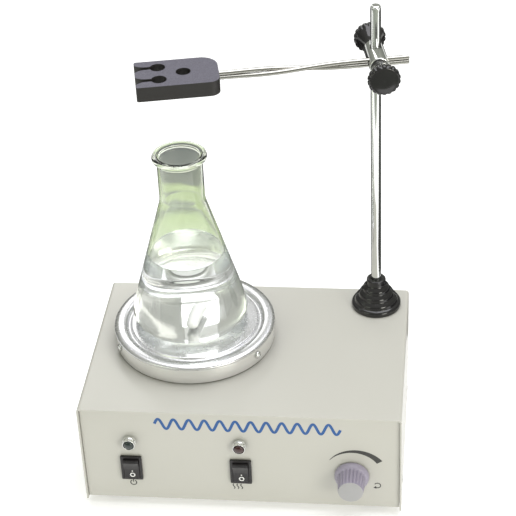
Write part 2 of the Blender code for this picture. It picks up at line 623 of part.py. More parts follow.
# ---------------------------------------------------------------- rod, boss, arm, holder

def build_rod(frame):
    spot = empty("rod_axis", frame, (ROD_X, ROD_Y, 0.0))
    bore = ROD_R + ROD_CLEAR
    low = COVER_TOP + GAP
    steps = [(18.5, 0.0), (18.5, 3.2), (17.6, 4.0), (16.2, 4.4), (15.4, 7.0), (13.0, 9.4), (12.6, 12.0),
             (10.4, 14.0), (9.8, 17.0), (7.6, 18.8), (7.15, 20.0), (7.15, 23.2), (6.5, 24.0)]
    profile = [(r * MM, low + h * MM) for r, h in steps]
    profile += [(bore, profile[-1][1]), (bore, low)]
    node("rod_base", turned(profile, 24, closed=True), "black_gloss", spot)
    rod = [(0.0, ROD_TOP), (1.9 * MM, ROD_TOP - 0.3 * MM), (3.2 * MM, ROD_TOP - 1.3 * MM),
           (ROD_R, ROD_TOP - 2.8 * MM), (ROD_R, COVER_TOP - 14 * MM), (0.0, COVER_TOP - 14 * MM)]
    node("support_rod", turned(rod, 20), "chrome", spot)
    nut_top = COVER_TOP - SHEET - GAP
    nut = node("rod_nut", cylinder(7.5 * MM, nut_top - 6.5 * MM, nut_top, 6), "steel", spot, smooth=0)
    boolean(nut, node("nut_bore", cylinder(bore, nut_top - 12 * MM, nut_top + 5 * MM, 16), "steel", spot))


def along_boss(bm):
    """Point a shape's +Z along the boss axis, towards the back."""
    return placed(bm, (0.0, -ARM_OFFSET, 0.0), TO_BACK)


def clamp_knob(start, end, length, flip):
    """A trumpet-shaped knob with a scalloped rim; start is its inner end along the boss axis."""
    rim = 6.0 * MM
    flare = length - rim
    hub = [(6.2, 0.0), (5.9, 0.12), (6.5, 0.38), (7.8, 0.62), (9.3, 0.85), (10.4, 1.0)]
    profile = [(CLAMP_SCREW_R + GAP, 0.0)]
    profile += [(r * MM, flare * share) for r, share in hub]
    profile += [(CLAMP_RIM_R, flare + 1.2 * MM), (CLAMP_RIM_R, length - 1.6 * MM),
                (9.6 * MM, length - 0.4 * MM), (5.0 * MM, length), (0.0, length)]
    depth = length - 5.0 * MM
    profile += [(0.0, depth), (CLAMP_SCREW_R + GAP, depth)]
    bm = turned(profile, 2 * SCALLOPS, closed=True)
    for vert in bm.verts:
        reach = hypot(vert.co.x, vert.co.y)
        if reach > CLAMP_RIM_R - 0.1 * MM and on_odd_step(vert, SCALLOPS):
            vert.co.xy *= (reach - SCALLOP_DEPTH) / reach
    if flip:
        placed(bm, rotation=Matrix.Rotation(pi, 3, "X"))
    return placed(bm, (0.0, 0.0, start))


def build_boss(swing):
    body = along_boss(turned([(0.0, BOSS_REAR), (BOSS_R - 0.6 * MM, BOSS_REAR),
                              (BOSS_R, BOSS_REAR - 0.6 * MM), (BOSS_R, -BOSS_FRONT + 0.6 * MM),
                              (BOSS_R - 0.6 * MM, -BOSS_FRONT), (0.0, -BOSS_FRONT)], 20))
    boss = node("boss_body", body, "chrome", swing)
    boolean(boss, node("rod_bore", cylinder(ROD_R + ROD_CLEAR, -20 * MM, 20 * MM, 18), "chrome", swing))
    arm_bore = placed(cylinder(ARM_BORE_R, -20 * MM, 20 * MM, 20), (0.0, -ARM_OFFSET, 0.0),
                      Matrix.Rotation(radians(90), 3, "Y"))
    boolean(boss, node("arm_bore", arm_bore, "chrome", swing))
    front_tip = -ARM_BORE_R - 0.1 * MM
    rear_tip = ARM_OFFSET + ROD_R + GAP
    thread_r = CLAMP_SCREW_R + GAP
    threads = cylinder(thread_r, -BOSS_FRONT - 3 * MM, front_tip + 2 * MM, 14)
    merge(threads, cylinder(thread_r, rear_tip - 2 * MM, BOSS_REAR + 3 * MM, 14))
    boolean(boss, node("clamp_threads", along_boss(threads), "chrome", swing))
    clamps = (("front", -BOSS_FRONT - GAP, FRONT_CLAMP_END - BOSS_FRONT - GAP, True, front_tip, -1),
              ("rear", BOSS_REAR + GAP, REAR_CLAMP_END - BOSS_REAR - GAP, False, rear_tip, 1))
    for name, start, length, flip, tip, way in clamps:
        knob = along_boss(clamp_knob(start, start + way * length, length, flip))
        node(f"{name}_clamp_knob", knob, "black_gloss", swing)
        end = start + way * (length - 5.6 * MM)
        bolt = along_boss(cylinder(CLAMP_SCREW_R, min(tip, end), max(tip, end), 12))
        node(f"{name}_clamp_screw", bolt, "chrome", swing)


def wire_points(phase):
    """One wire of the pair: side by side at both ends, with half a twist between them."""
    left = HOLDER_RIGHT - WIRE_SOCKET + GAP
    twist_from, twist_to = HOLDER_RIGHT + 4 * MM, -14 * MM
    count = 26
    points = []
    for i in range(count + 1):
        x = left + (ARM_RIGHT - left) * i / count
        share = min(max((x - twist_from) / (twist_to - twist_from), 0.0), 1.0)
        share = share * share * (3 - 2 * share)
        angle = phase + pi * share
        points.append((x, -ARM_OFFSET + WIRE_SPACING / 2 * sin(angle), WIRE_SPACING / 2 * cos(angle)))
    return points


def build_arm(swing):
    for number, phase in enumerate((0.0, pi), 1):
        curve = bpy.data.curves.new(f"arm_wire_{number}", "CURVE")
        curve.dimensions = "3D"
        curve.bevel_depth = WIRE_R
        curve.bevel_resolution = 2
        curve.use_fill_caps = True
        points = wire_points(phase)
        spline = curve.splines.new("POLY")
        spline.points.add(len(points) - 1)
        for target, place in zip(spline.points, points):
            target.co = (*place, 1.0)
        curve.materials.append(material("chrome"))
        wire = bpy.data.objects.new(f"arm_wire_{number}", curve)
        bpy.context.scene.collection.objects.link(wire)
        wire.parent = swing


def rounded_right_end(length, width, radii):
    """Outline of the holder: square at its left end, rounded corners at its right end."""
    half = width / 2
    small = 1.5 * MM
    front, back = radii
    points = arc(-length + small, -half + small, small, 180, 270, 2)
    points += arc(-front, -half + front, front, 270, 360, 5)
    points += arc(-back, half - back, back, 0, 90, 7)
    points += arc(-length + small, half - small, small, 90, 180, 2)
    return points


def keyhole(centre_x, centre_y):
    """A round hole joined by a narrow neck to a mouth that flares at the holder's left end."""
    half_neck = SLOT_NECK / 2
    start = degrees(asin(half_neck / KEYHOLE_R))
    outline = arc(centre_x, centre_y, KEYHOLE_R, 180 - start, -180 + start, 16)
    left = HOLDER_RIGHT - HOLDER_L
    flare = left + 6.5 * MM
    mouth = SLOT_MOUTH / 2
    outline += [(flare, centre_y - half_neck), (left - 2 * MM, centre_y - mouth),
                (left - 2 * MM, centre_y + mouth), (flare, centre_y + half_neck)]
    return placed(extruded(outline, HOLDER_H + 8 * MM), (0.0, 0.0, -HOLDER_H / 2 - 4 * MM))


def build_holder(swing):
    outline = rounded_right_end(HOLDER_L, HOLDER_W, HOLDER_CORNERS)
    slab = placed(extruded(outline, HOLDER_H), (HOLDER_RIGHT, -ARM_OFFSET, -HOLDER_H / 2))
    holder = node("probe_holder", slab, "black_matte", swing)
    hole_x = HOLDER_RIGHT - HOLDER_L / 2 + 4.5 * MM
    tools = placed(cylinder(HOLE_R, -HOLDER_H, HOLDER_H, 20), (hole_x, -ARM_OFFSET, 0.0))
    for side in (-1, 1):
        centre_y = -ARM_OFFSET + side * KEYHOLE_PITCH / 2
        merge(tools, keyhole(HOLDER_RIGHT - HOLDER_L + KEYHOLE_FROM_END, centre_y))
    socket_r = WIRE_R + GAP
    outline = arc(WIRE_SPACING / 2, 0.0, socket_r, -90, 90, 6)
    outline += arc(-WIRE_SPACING / 2, 0.0, socket_r, 90, 270, 6)
    socket = placed(extruded(outline, WIRE_SOCKET + 6 * MM),
                    (HOLDER_RIGHT - WIRE_SOCKET, -ARM_OFFSET, 0.0), Matrix.Rotation(radians(90), 3, "Y"))
    boolean(holder, node("wire_socket", socket, "black_matte", swing))
    boolean(holder, node("holder_holes", tools, "black_matte", swing))


# ---------------------------------------------------------------- flask

def flask_outer():
    """Outer profile from the base centre to the rim, as (radius, height)."""
    base = FLASK_BASE_R
    corner = FLASK_CORNER_R
    points = [(0.0, 0.6 * MM), (base - corner - 6 * MM, 0.0), (base - corner, 0.0)]
    points += arc(base - corner, corner, corner, -60, 15, 4)
    points += [(18.6 * MM, NECK_Z - 9 * MM), (16.9 * MM, NECK_Z - 3 * MM), (NECK_R, NECK_Z + 3 * MM),
               (NECK_R, FLASK_H - 6.5 * MM), (17.6 * MM, FLASK_H - 4.4 * MM)]
    return points


def flask_inner(rim_z):
    """Inner profile from the rim down to the base centre."""
    base = FLASK_BASE_R - GLASS
    corner = FLASK_CORNER_R - GLASS / 2
    points = [(NECK_R - GLASS, rim_z), (NECK_R - GLASS, NECK_Z + 3 * MM),
              (16.9 * MM - GLASS, NECK_Z - 3.6 * MM), (18.6 * MM - GLASS, NECK_Z - 9.6 * MM)]
    low = arc(base - corner, corner + GLASS, corner, -60, 15, 4)
    return points + list(reversed(low)) + [(base - corner, GLASS), (0.0, GLASS + 0.5 * MM)]


def build_flask(frame):
    spot = empty("flask_axis", frame, (FLASK_X, FLASK_Y, FLASK_Z))
    bead = arc(RIM_BEAD_R - 2.0 * MM, FLASK_H - 2.4 * MM, 2.0 * MM, -45, 100, 4)
    outer = flask_outer() + bead + [(16.0 * MM, FLASK_H)]
    node("flask", turned(outer + flask_inner(FLASK_H - 1.2 * MM), 30), "glass", spot)
    wall = GAP
    base = FLASK_BASE_R - GLASS - wall
    corner = FLASK_CORNER_R - GLASS / 2
    slope_top = (18.6 * MM - GLASS, NECK_Z - 9.6 * MM)
    low = arc(base - corner, corner + GLASS + wall, corner, -60, 15, 4)
    share = (LIQUID_LEVEL - low[-1][1]) / (slope_top[1] - low[-1][1])
    surface_r = low[-1][0] + (slope_top[0] - wall - low[-1][0]) * share
    profile = [(0.0, GLASS + 0.5 * MM + wall), (base - corner, GLASS + wall)] + low
    profile += [(surface_r, LIQUID_LEVEL), (0.0, LIQUID_LEVEL)]
    liquid = node("liquid", turned(profile, 30), "water", spot)
    bar = empty("stir_axis", frame, (PLATE_X, PLATE_Y, FLASK_Z + GLASS + 1.0 * MM + STIR_BAR_R))
    room = cylinder(STIR_BAR_L / 2 + 1.2 * MM, -STIR_BAR_R - 6 * MM, STIR_BAR_R + 0.6 * MM, 20)
    boolean(liquid, node("stir_room", room, "water", bar))
    half = STIR_BAR_L / 2
    profile = [(0.0, half), (2.2 * MM, half - 0.6 * MM), (3.6 * MM, half - 2.4 * MM),
               (STIR_BAR_R, half - 4.4 * MM)]
    profile += [(r, -z) for r, z in reversed(profile)]
    node("stir_bar", placed(turned(profile, 12), rotation=TO_BACK), "ptfe", bar)


def main():
    clear_scene()
    frame = empty("stirrer_frame", None, (0.0, HOUSING_Y, 0.0))
    build_cover(frame)
    build_tray(frame)
    build_feet(frame)
    build_cover_screws(frame)
    plate = empty("plate_axis", frame, (PLATE_X, PLATE_Y, COVER_TOP))
    build_hot_plate(plate)
    build_plate_support(plate)
    build_drive(plate)
    for name, x in SWITCH_X.items():
        build_switch(name, x, frame)
    build_lamp("power", LAMP_X["power"], "lens_green", frame)
    build_lamp("heat", LAMP_X["heat"], "lens_red", frame)
    build_speed_control(frame)
    build_inlet(frame)
    build_fuse(frame)
    build_electronics(frame)
    build_rod(frame)
    swing = empty("arm_swing_axis", frame, (ROD_X, ROD_Y, ARM_Z), ARM_ANGLE)
    build_boss(swing)
    build_arm(swing)
    build_holder(swing)
    build_flask(frame)


main()
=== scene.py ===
"""Looks of the heated magnetic stirrer: fine meshes, materials, stage, light and camera.

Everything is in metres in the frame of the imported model. Fine pieces take their places and main
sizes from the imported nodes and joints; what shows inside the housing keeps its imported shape.
"""

import json
from math import acos, atan2, cos, degrees, hypot, pi, radians, sin, tan

import bmesh
import bpy
from mathutils import Matrix, Vector

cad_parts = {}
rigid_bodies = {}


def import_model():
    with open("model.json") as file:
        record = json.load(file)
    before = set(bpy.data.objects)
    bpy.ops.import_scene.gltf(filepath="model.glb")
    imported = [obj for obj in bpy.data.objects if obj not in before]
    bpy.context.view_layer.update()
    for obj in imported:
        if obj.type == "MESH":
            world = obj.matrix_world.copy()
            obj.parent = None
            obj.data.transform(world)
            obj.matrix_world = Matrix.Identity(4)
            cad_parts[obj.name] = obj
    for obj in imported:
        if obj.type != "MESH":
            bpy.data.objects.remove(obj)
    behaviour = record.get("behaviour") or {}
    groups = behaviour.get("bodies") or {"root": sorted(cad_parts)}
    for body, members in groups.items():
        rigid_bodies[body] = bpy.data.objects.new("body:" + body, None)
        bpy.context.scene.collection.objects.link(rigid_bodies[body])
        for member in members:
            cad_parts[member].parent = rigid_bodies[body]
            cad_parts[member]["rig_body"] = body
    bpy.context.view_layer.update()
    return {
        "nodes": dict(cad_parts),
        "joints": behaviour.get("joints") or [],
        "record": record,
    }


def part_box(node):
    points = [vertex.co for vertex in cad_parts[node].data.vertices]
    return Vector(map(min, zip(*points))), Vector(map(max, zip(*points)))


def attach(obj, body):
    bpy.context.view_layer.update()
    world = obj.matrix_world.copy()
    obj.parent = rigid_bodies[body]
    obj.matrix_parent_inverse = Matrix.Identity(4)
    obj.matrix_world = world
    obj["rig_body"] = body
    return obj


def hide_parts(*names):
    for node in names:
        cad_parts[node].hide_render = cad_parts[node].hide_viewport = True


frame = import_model()

MM = 0.001
NODES = frame["nodes"]
SLOTS = {part["node"]: part["material_slot"] for part in frame["record"]["subparts"]}
JOINTS = {joint["name"]: joint for joint in frame["joints"]}
SIDES = ("power", "heat")


def at(x, y, z):
    return Matrix.Translation((x, y, z))


def turned(degrees, axis):
    return Matrix.Rotation(radians(degrees), 4, axis)


TO_FRONT = turned(90, "X")        # +Z to -Y
TO_BACK = turned(-90, "X")        # +Z to +Y
TO_RIGHT = turned(90, "Y")        # +Z to +X


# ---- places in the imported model

def size(node):
    low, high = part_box(node)
    return high - low


def extent(node):
    """Lowest and highest corner of a node's box, and its middle."""
    low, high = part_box(node)
    return low, high, (low + high) / 2


def centre(node):
    return extent(node)[2]


def over(spot):
    """Matrix that stands a mesh over a point on the ground."""
    return at(spot.x, spot.y, 0.0)


def facing(node, y, turn):
    """Matrix at the middle of a node's x and z, at a depth of its own, turned to a panel."""
    mid = centre(node)
    return at(mid.x, y, mid.z) @ turn


def span(node, axis, origin):
    """Least and greatest distance of a node's points along an axis from a point."""
    reach = [(vertex.co - origin).dot(axis) for vertex in NODES[node].data.vertices]
    return min(reach), max(reach)


def reach_from(node, axis, origin):
    """Greatest distance of a node's points from the line along axis through origin."""
    offsets = [vertex.co - origin for vertex in NODES[node].data.vertices]
    return max((offset - axis * offset.dot(axis)).length for offset in offsets)


# ---- mesh helpers

def in_mm(*points, above=0.0):
    """Outline points in millimetres above a height; a third value is that corner's radius."""
    return [(x * MM, above + y * MM, *(r * MM for r in corner)) for x, y, *corner in points]


def rectangle(x0, y0, x1, y1):
    return [(x0, y0), (x1, y0), (x1, y1), (x0, y1)]


def arc(cx, cy, radius, start, end, steps):
    """Points on an arc, both ends included; angles in degrees."""
    angles = [radians(start + (end - start) * i / steps) for i in range(steps + 1)]
    return [(cx + radius * cos(a), cy + radius * sin(a)) for a in angles]


def rounded(points, radius, steps=4, closed=False):
    """Soften the corners of an outline; a point may carry its own radius as a third value."""
    out = []
    count = len(points)
    for i, point in enumerate(points):
        here = Vector(point[:2])
        if not closed and i in (0, count - 1):
            out.append(tuple(here))
            continue
        before = Vector(points[i - 1][:2]) - here
        after = Vector(points[(i + 1) % count][:2]) - here
        wanted = point[2] if len(point) > 2 else radius
        back = here + before.normalized() * min(wanted, before.length * 0.45)
        ahead = here + after.normalized() * min(wanted, after.length * 0.45)
        for k in range(steps + 1):
            t = k / steps
            spot = back * (1 - t) ** 2 + here * 2 * t * (1 - t) + ahead * t * t
            out.append(tuple(spot))
    return out


def lathe(profile, segments, closed=False, wave=None):
    """Spin (radius, height) points about Z; wave(radius, height, turn) may change a radius."""
    bm = bmesh.new()
    turns = [2 * pi * i / segments for i in range(segments)]
    rows = []
    for radius, height in profile:
        if radius < 1e-9:
            rows.append([bm.verts.new((0.0, 0.0, height))])
            continue
        row = []
        for turn in turns:
            r = wave(radius, height, turn) if wave else radius
            row.append(bm.verts.new((r * cos(turn), r * sin(turn), height)))
        rows.append(row)
    pairs = list(zip(rows, rows[1:]))
    if closed:
        pairs.append((rows[-1], rows[0]))
    for first, second in pairs:
        bridge(bm, first, second, segments)
    bmesh.ops.recalc_face_normals(bm, faces=bm.faces)
    return bm


def bridge(bm, first, second, segments):
    """Faces between two rings of a lathe, either of which may be a single point on the axis."""
    if len(first) == 1 and len(second) == 1:
        return
    for i in range(segments):
        j = (i + 1) % segments
        if len(first) == 1:
            bm.faces.new((first[0], second[i], second[j]))
        elif len(second) == 1:
            bm.faces.new((first[i], second[0], first[j]))
        else:
            bm.faces.new((first[i], second[i], second[j], first[j]))


def prism(outline, depth):
    """Extrude a closed (x, y) outline up Z by depth."""
    bm = bmesh.new()
    face = bm.faces.new([bm.verts.new((x, y, 0.0)) for x, y in outline])
    raised = bmesh.ops.extrude_face_region(bm, geom=[face])["geom"]
    moved = [g for g in raised if isinstance(g, bmesh.types.BMVert)]
    bmesh.ops.translate(bm, verts=moved, vec=(0.0, 0.0, depth))
    bmesh.ops.recalc_face_normals(bm, faces=bm.faces)
    return bm


def box_mesh(low, high):
    bm = bmesh.new()
    low, high = Vector(low), Vector(high)
    scale = Matrix.Diagonal((*(high - low), 1.0))
    bmesh.ops.create_cube(bm, size=1.0, matrix=Matrix.Translation((low + high) / 2) @ scale)
    return bm


def box_about(middle, half_x, half_z, front, back):
    """A box from front to back along Y round a point's x and z; its halves are in millimetres."""
    half_x, half_z = half_x * MM, half_z * MM
    return box_mesh((middle.x - half_x, front, middle.z - half_z),
                    (middle.x + half_x, back, middle.z + half_z))


def soften(bm, width, steps=3, sharper_than=35.0):
    """Bevel the sharp edges of a mesh."""
    least = radians(sharper_than)
    edges = [e for e in bm.edges if e.is_manifold and e.calc_face_angle(0.0) > least]
    bmesh.ops.bevel(bm, geom=edges, offset=width, segments=steps, affect="EDGES", profile=0.5,
                    clamp_overlap=True)
    return bm


def placed(bm, matrix):
    bmesh.ops.transform(bm, matrix=matrix, verts=bm.verts)
    return bm


def merge(bm, other):
    mesh = bpy.data.meshes.new("merge")
    other.to_mesh(mesh)
    other.free()
    bm.from_mesh(mesh)
    bpy.data.meshes.remove(mesh)
    return bm


def linked(name, data):
    """An object in the scene for a mesh, a light or a camera."""
    made = bpy.data.objects.new(name, data)
    bpy.context.scene.collection.objects.link(made)
    return made


def loose(name, bm):
    """A mesh object with no body or material yet."""
    mesh = bpy.data.meshes.new(name)
    bm.to_mesh(mesh)
    bm.free()
    return linked(name, mesh)


def combined(bm, other, operation="DIFFERENCE"):
    """The mesh left after an exact Boolean of two closed meshes."""
    target, tool = loose("target", bm), loose("tool", other)
    modifier = target.modifiers.new("cut", "BOOLEAN")
    modifier.operation = operation
    modifier.solver = "EXACT"
    modifier.object = tool
    bpy.context.view_layer.update()
    result = bmesh.new()
    result.from_object(target, bpy.context.evaluated_depsgraph_get())
    for obj in (target, tool):
        bpy.data.objects.remove(obj, do_unlink=True)
    return result


def rod_mesh(radius, low, high, segments=48):
    return lathe([(0.0, low), (radius, low), (radius, high), (0.0, high)], segments)


def drill(holes, radius, low, high, place, segments=48):
    """Add a bore along a place's Z to the holes that a Boolean will cut."""
    merge(holes, placed(rod_mesh(radius, low, high, segments), place))


def piece(name, bm, look, body, sharp=32.0, flat=False):
    """A finished visible piece in a named material, with its body."""
    made = loose(name, bm)
    made.data.shade_smooth()
    made.data.set_sharp_from_angle(angle=radians(sharp))
    if flat:
        even = made.modifiers.new("flat faces", "WEIGHTED_NORMAL")
        even.keep_sharp = True
        even.weight = 90
    made.data.materials.append(MATERIALS[look])
    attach(made, body)
    return made


def stand_in(name, bm, look, node, sharp=32.0, flat=False):
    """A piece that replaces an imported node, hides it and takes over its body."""
    made = piece(name, bm, look, NODES[node]["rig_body"], sharp, flat)
    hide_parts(node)


def spun(name, profile, soft, steps, segments, place, look, node, sharp, ring=False, wave=None):
    """A stand-in spun from an outline whose corners are softened first."""
    bm = lathe(rounded(profile, soft, steps, ring), segments, ring, wave)
    stand_in(name, placed(bm, place), look, node, sharp)


# ---- materials

class Look:
    """A node material under construction: a Principled shader and short ways to feed it."""

    def __init__(self, name, colour, roughness, metallic=0.0, **inputs):
        self.material = bpy.data.materials.new(name)
        self.material.use_nodes = True
        self.tree = self.material.node_tree
        self.shader = self.tree.nodes["Principled BSDF"]
        self.shader.inputs["Base Color"].default_value = (*colour, 1.0)
        self.shader.inputs["Roughness"].default_value = roughness
        self.shader.inputs["Metallic"].default_value = metallic
        for key, value in inputs.items():
            self.shader.inputs[key.replace("_", " ")].default_value = value
        self.colour = colour
        self.heights = None
        self.coordinates = self.add("ShaderNodeTexCoord").outputs["Object"]

    def add(self, kind, feeds=None, **settings):
        """A new node with settings of its own; each named input gets a value or an output."""
        made = self.tree.nodes.new(kind)
        for key, value in settings.items():
            setattr(made, key, value)
        for key, source in (feeds or {}).items():
            self.feed(made.inputs[key], source)
        return made

    def feed(self, socket, source):
        if isinstance(source, bpy.types.NodeSocket):
            self.tree.links.new(source, socket)
        else:
            socket.default_value = source

    def noise(self, per_metre, detail=3.0, stretch=None):
        place = self.coordinates
        if stretch:
            mapping = self.add("ShaderNodeMapping", {"Scale": stretch, "Vector": place})
            place = mapping.outputs["Vector"]
        feeds = {"Scale": per_metre, "Detail": detail, "Vector": place}
        return self.add("ShaderNodeTexNoise", feeds).outputs["Fac"]

    def ranged(self, value, low, high, from_low=0.3, from_high=0.7):
        feeds = {"Value": value, "From Min": from_low, "From Max": from_high,
                 "To Min": low, "To Max": high}
        return self.add("ShaderNodeMapRange", feeds).outputs["Result"]

    def normal(self):
        return self.add("ShaderNodeNewGeometry").outputs["Normal"]

    def split(self, vector):
        """The X, Y and Z outputs of a vector."""
        return self.add("ShaderNodeSeparateXYZ", {"Vector": vector}).outputs

    def tint(self, factor, colour):
        """Blend the base colour towards another one by a factor from 0 to 1."""
        socket = self.shader.inputs["Base Color"]
        before = socket.links[0].from_socket if socket.is_linked else (*self.colour, 1.0)
        blend = self.add("ShaderNodeMix", data_type="RGBA")
        for key, source in (("A", before), ("B", (*colour, 1.0)), ("Factor", factor)):
            self.feed(blend.inputs[key], source)
        self.feed(socket, blend.outputs["Result"])
        return self

    def rough(self, factor, low, high):
        self.feed(self.shader.inputs["Roughness"], self.ranged(factor, low, high, 0.15, 0.85))
        return self

    def bump(self, height, strength, distance):
        feeds = {"Strength": strength, "Distance": distance, "Height": height}
        if self.heights:
            feeds["Normal"] = self.heights
        self.heights = self.add("ShaderNodeBump", feeds).outputs["Normal"]
        self.feed(self.shader.inputs["Normal"], self.heights)
        return self

    def painted_hollow_shade(self, colour, low=0.40, high=0.485, amount=0.8):
        """Hollows darkened as painted shade, found from the mesh's own curvature."""
        curvature = self.add("ShaderNodeNewGeometry").outputs["Pointiness"]
        return self.tint(self.ranged(curvature, amount, 0.0, low, high), colour)

    def worn_edges(self, colour, amount=0.6, reach=0.35 * MM):
        """Edges rubbed towards another colour, found where a rounded normal leaves the true one."""
        softened = self.add("ShaderNodeBevel", {"Radius": reach}, samples=4).outputs["Normal"]
        turned = self.add("ShaderNodeVectorMath", {0: softened, 1: self.normal()},
                          operation="DOT_PRODUCT")
        return self.tint(self.ranged(turned.outputs["Value"], amount, 0.0, 0.80, 0.985), colour)


def painted_sheet():
    look = Look("housing_paint", (0.545, 0.535, 0.487), 0.3, Coat_Weight=0.2, Coat_Roughness=0.2)
    look.tint(look.ranged(look.noise(9.0, 2.0), 0.0, 0.35), (0.515, 0.507, 0.452))
    look.rough(look.noise(160.0), 0.27, 0.36)
    look.bump(look.noise(650.0, 2.0), 0.05, 0.0002)
    return look.worn_edges((0.66, 0.65, 0.61), 0.5).material


def turned_aluminium():
    """Satin aluminium with the rings that a lathe leaves."""
    look = Look("turned_aluminium", (0.80, 0.80, 0.815), 0.26, 1.0, Anisotropic=0.75)
    shift = look.add("ShaderNodeMapping", {"Location": -centre("hot_plate"),
                                           "Vector": look.coordinates})
    rings = look.add("ShaderNodeTexWave", {"Scale": 110.0, "Distortion": 1.5, "Detail": 2.0,
                                           "Vector": shift.outputs["Vector"]},
                     wave_type="RINGS", rings_direction="Z")
    look.rough(look.noise(300.0), 0.24, 0.29)
    look.tint(look.ranged(look.noise(60.0), 0.0, 0.3), (0.70, 0.695, 0.74))
    # painted shade in the plate's groove and other hollows
    look.painted_hollow_shade((0.20, 0.20, 0.22))
    look.bump(rings.outputs["Fac"], 0.018, 0.0001)
    look.bump(look.noise(700.0, 2.0), 0.008, 0.0001)
    tangent = look.add("ShaderNodeTangent", direction_type="RADIAL", axis="Z")
    look.feed(look.shader.inputs["Tangent"], tangent.outputs["Tangent"])
    return look.material


def metal(name, colour, low, high, grain=900.0, bump=0.05, stretch=None):
    look = Look(name, colour, (low + high) / 2, 1.0)
    look.rough(look.noise(grain, 3.0, stretch), low, high)
    look.tint(look.ranged(look.noise(45.0), 0.0, 0.4), tuple(c * 0.88 for c in colour))
    look.bump(look.noise(grain * 1.7, 2.0, stretch), bump, 0.0001)
    return look.material


def plastic(name, colour, low, high, grain=1200.0, bump=0.12, speckle=None, coat=0.0):
    look = Look(name, colour, (low + high) / 2, Coat_Weight=coat, Coat_Roughness=0.06)
    look.rough(look.noise(grain * 0.4), low, high)
    look.tint(look.ranged(look.noise(70.0), 0.0, 0.5), tuple(c * 0.8 for c in colour))
    if speckle:
        look.tint(look.ranged(look.noise(grain * 1.5, 2.0), 0.0, 0.6, 0.5, 0.7), speckle)
    look.bump(look.noise(grain, 2.0), bump, 0.00015)
    return look.worn_edges(tuple(min(c * 1.5 + 0.02, 1.0) for c in colour)).material


def faced_plastic():
    """Dark moulded plastic whose top faces carry painted light from above: a pale grey with a fine
    grain in it.
    """
    look = Look("holder_grey", (0.020, 0.018, 0.017), 0.5)
    # painted light: faces that point up are tinted pale grey, as if lit from above; the rest stays
    # dark
    painted_top_light = look.ranged(look.split(look.normal())["Z"], 0.0, 1.0, 0.5, 0.95)
    look.tint(painted_top_light, (0.130, 0.124, 0.158))
    fine = look.ranged(look.noise(1100.0, 3.0), 0.0, 0.9)
    # a fine grain, shown only inside the painted top light
    grain = look.add("ShaderNodeMath", {0: painted_top_light, 1: fine}, operation="MULTIPLY")
    look.tint(grain.outputs["Value"], (0.078, 0.074, 0.098))
    look.rough(look.noise(600.0), 0.42, 0.6)
    look.bump(look.noise(1300.0, 2.0), 0.25, 0.00015)
    return look.material


def clear(name, colour, ior, waviness=0.02):
    """A see-through material that lets light pass to what it shades."""
    look = Look(name, colour, 0.0, IOR=ior, Transmission_Weight=1.0)
    look.bump(look.noise(55.0, 1.0), waviness, 0.0006)
    look.rough(look.noise(400.0), 0.0, 0.012)
    see_through = look.add("ShaderNodeBsdfTransparent", {"Color": (*(c ** 2 for c in colour), 1.0)})
    shadow = look.add("ShaderNodeLightPath").outputs["Is Shadow Ray"]
    mixed = look.add("ShaderNodeMixShader", {"Fac": shadow, 1: look.shader.outputs["BSDF"],
                                             2: see_through.outputs["BSDF"]})
    look.feed(look.tree.nodes["Material Output"].inputs["Surface"], mixed.outputs["Shader"])
    return look


def flask_glass():
    """Clear glass with a painted green tint that grows towards the neck, standing in for the
    green-grey surroundings seen through it.
    """
    look = clear("flask_glass", (0.985, 0.99, 0.985), 1.47)
    height = look.split(look.coordinates)["Z"]
    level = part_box("liquid")[1].z
    # painted tint above the liquid, for the surroundings seen through the glass; the glass itself
    # is clear
    share = look.ranged(height, 0.0, 1.0, level - 6 * MM, level + 8 * MM)
    look.tint(share, (0.91, 0.94, 0.84))
    return look.material


# name: colour, least and greatest roughness, grain per metre, bump, and for one a stretch
METALS = {
    "cast_aluminium": ((0.96, 0.955, 0.945), 0.32, 0.45, 1100.0, 0.06),
    "chrome": ((0.82, 0.83, 0.82), 0.05, 0.12, 250.0, 0.02),
    "wire_steel": ((0.50, 0.49, 0.455), 0.10, 0.18, 250.0, 0.03),
    "steel": ((0.58, 0.58, 0.57), 0.28, 0.45, 800.0, 0.1, (1.0, 1.0, 0.15)),
    "magnet": ((0.24, 0.24, 0.25), 0.35, 0.5),
}
# name: colour, least and greatest roughness, grain per metre, bump, speckle colour, coat
PLASTICS = {
    "gloss_black": ((0.008, 0.007, 0.008), 0.10, 0.2, 900.0, 0.04, None, 0.4),
    "switch_black": ((0.012, 0.010, 0.011), 0.26, 0.38, 1500.0, 0.08),
    "matte_black": ((0.035, 0.035, 0.037), 0.45, 0.6, 1500.0, 0.2),
    "rubber": ((0.022, 0.022, 0.022), 0.65, 0.85, 1300.0, 0.35),
    "knob_grey": ((0.345, 0.315, 0.395), 0.25, 0.36, 1500.0, 0.06),
    "knob_cap": ((0.40, 0.395, 0.40), 0.42, 0.55, 1200.0, 0.1),
    "lens_green": ((0.012, 0.022, 0.020), 0.05, 0.1, 500.0, 0.06, None, 0.5),
    "lens_red": ((0.036, 0.006, 0.005), 0.05, 0.1, 500.0, 0.06, None, 0.5),
    "board_green": ((0.02, 0.13, 0.05), 0.35, 0.5, 700.0, 0.2, (0.35, 0.30, 0.12)),
    "mica": ((0.50, 0.42, 0.30), 0.4, 0.6, 400.0, 0.3, (0.62, 0.54, 0.42)),
    "ceramic_fibre": ((0.78, 0.76, 0.70), 0.85, 0.95, 350.0, 0.8),
    "ptfe": ((0.88, 0.87, 0.86), 0.3, 0.42, 900.0, 0.06),
    "ink_grey": ((0.045, 0.045, 0.042), 0.5, 0.65, 2500.0, 0.15, (0.10, 0.10, 0.095)),
    "ink_blue": ((0.016, 0.095, 0.32), 0.4, 0.55, 2500.0, 0.15, (0.04, 0.15, 0.40)),
    "mark_white": ((0.85, 0.85, 0.82), 0.4, 0.5, 2500.0, 0.1),
}


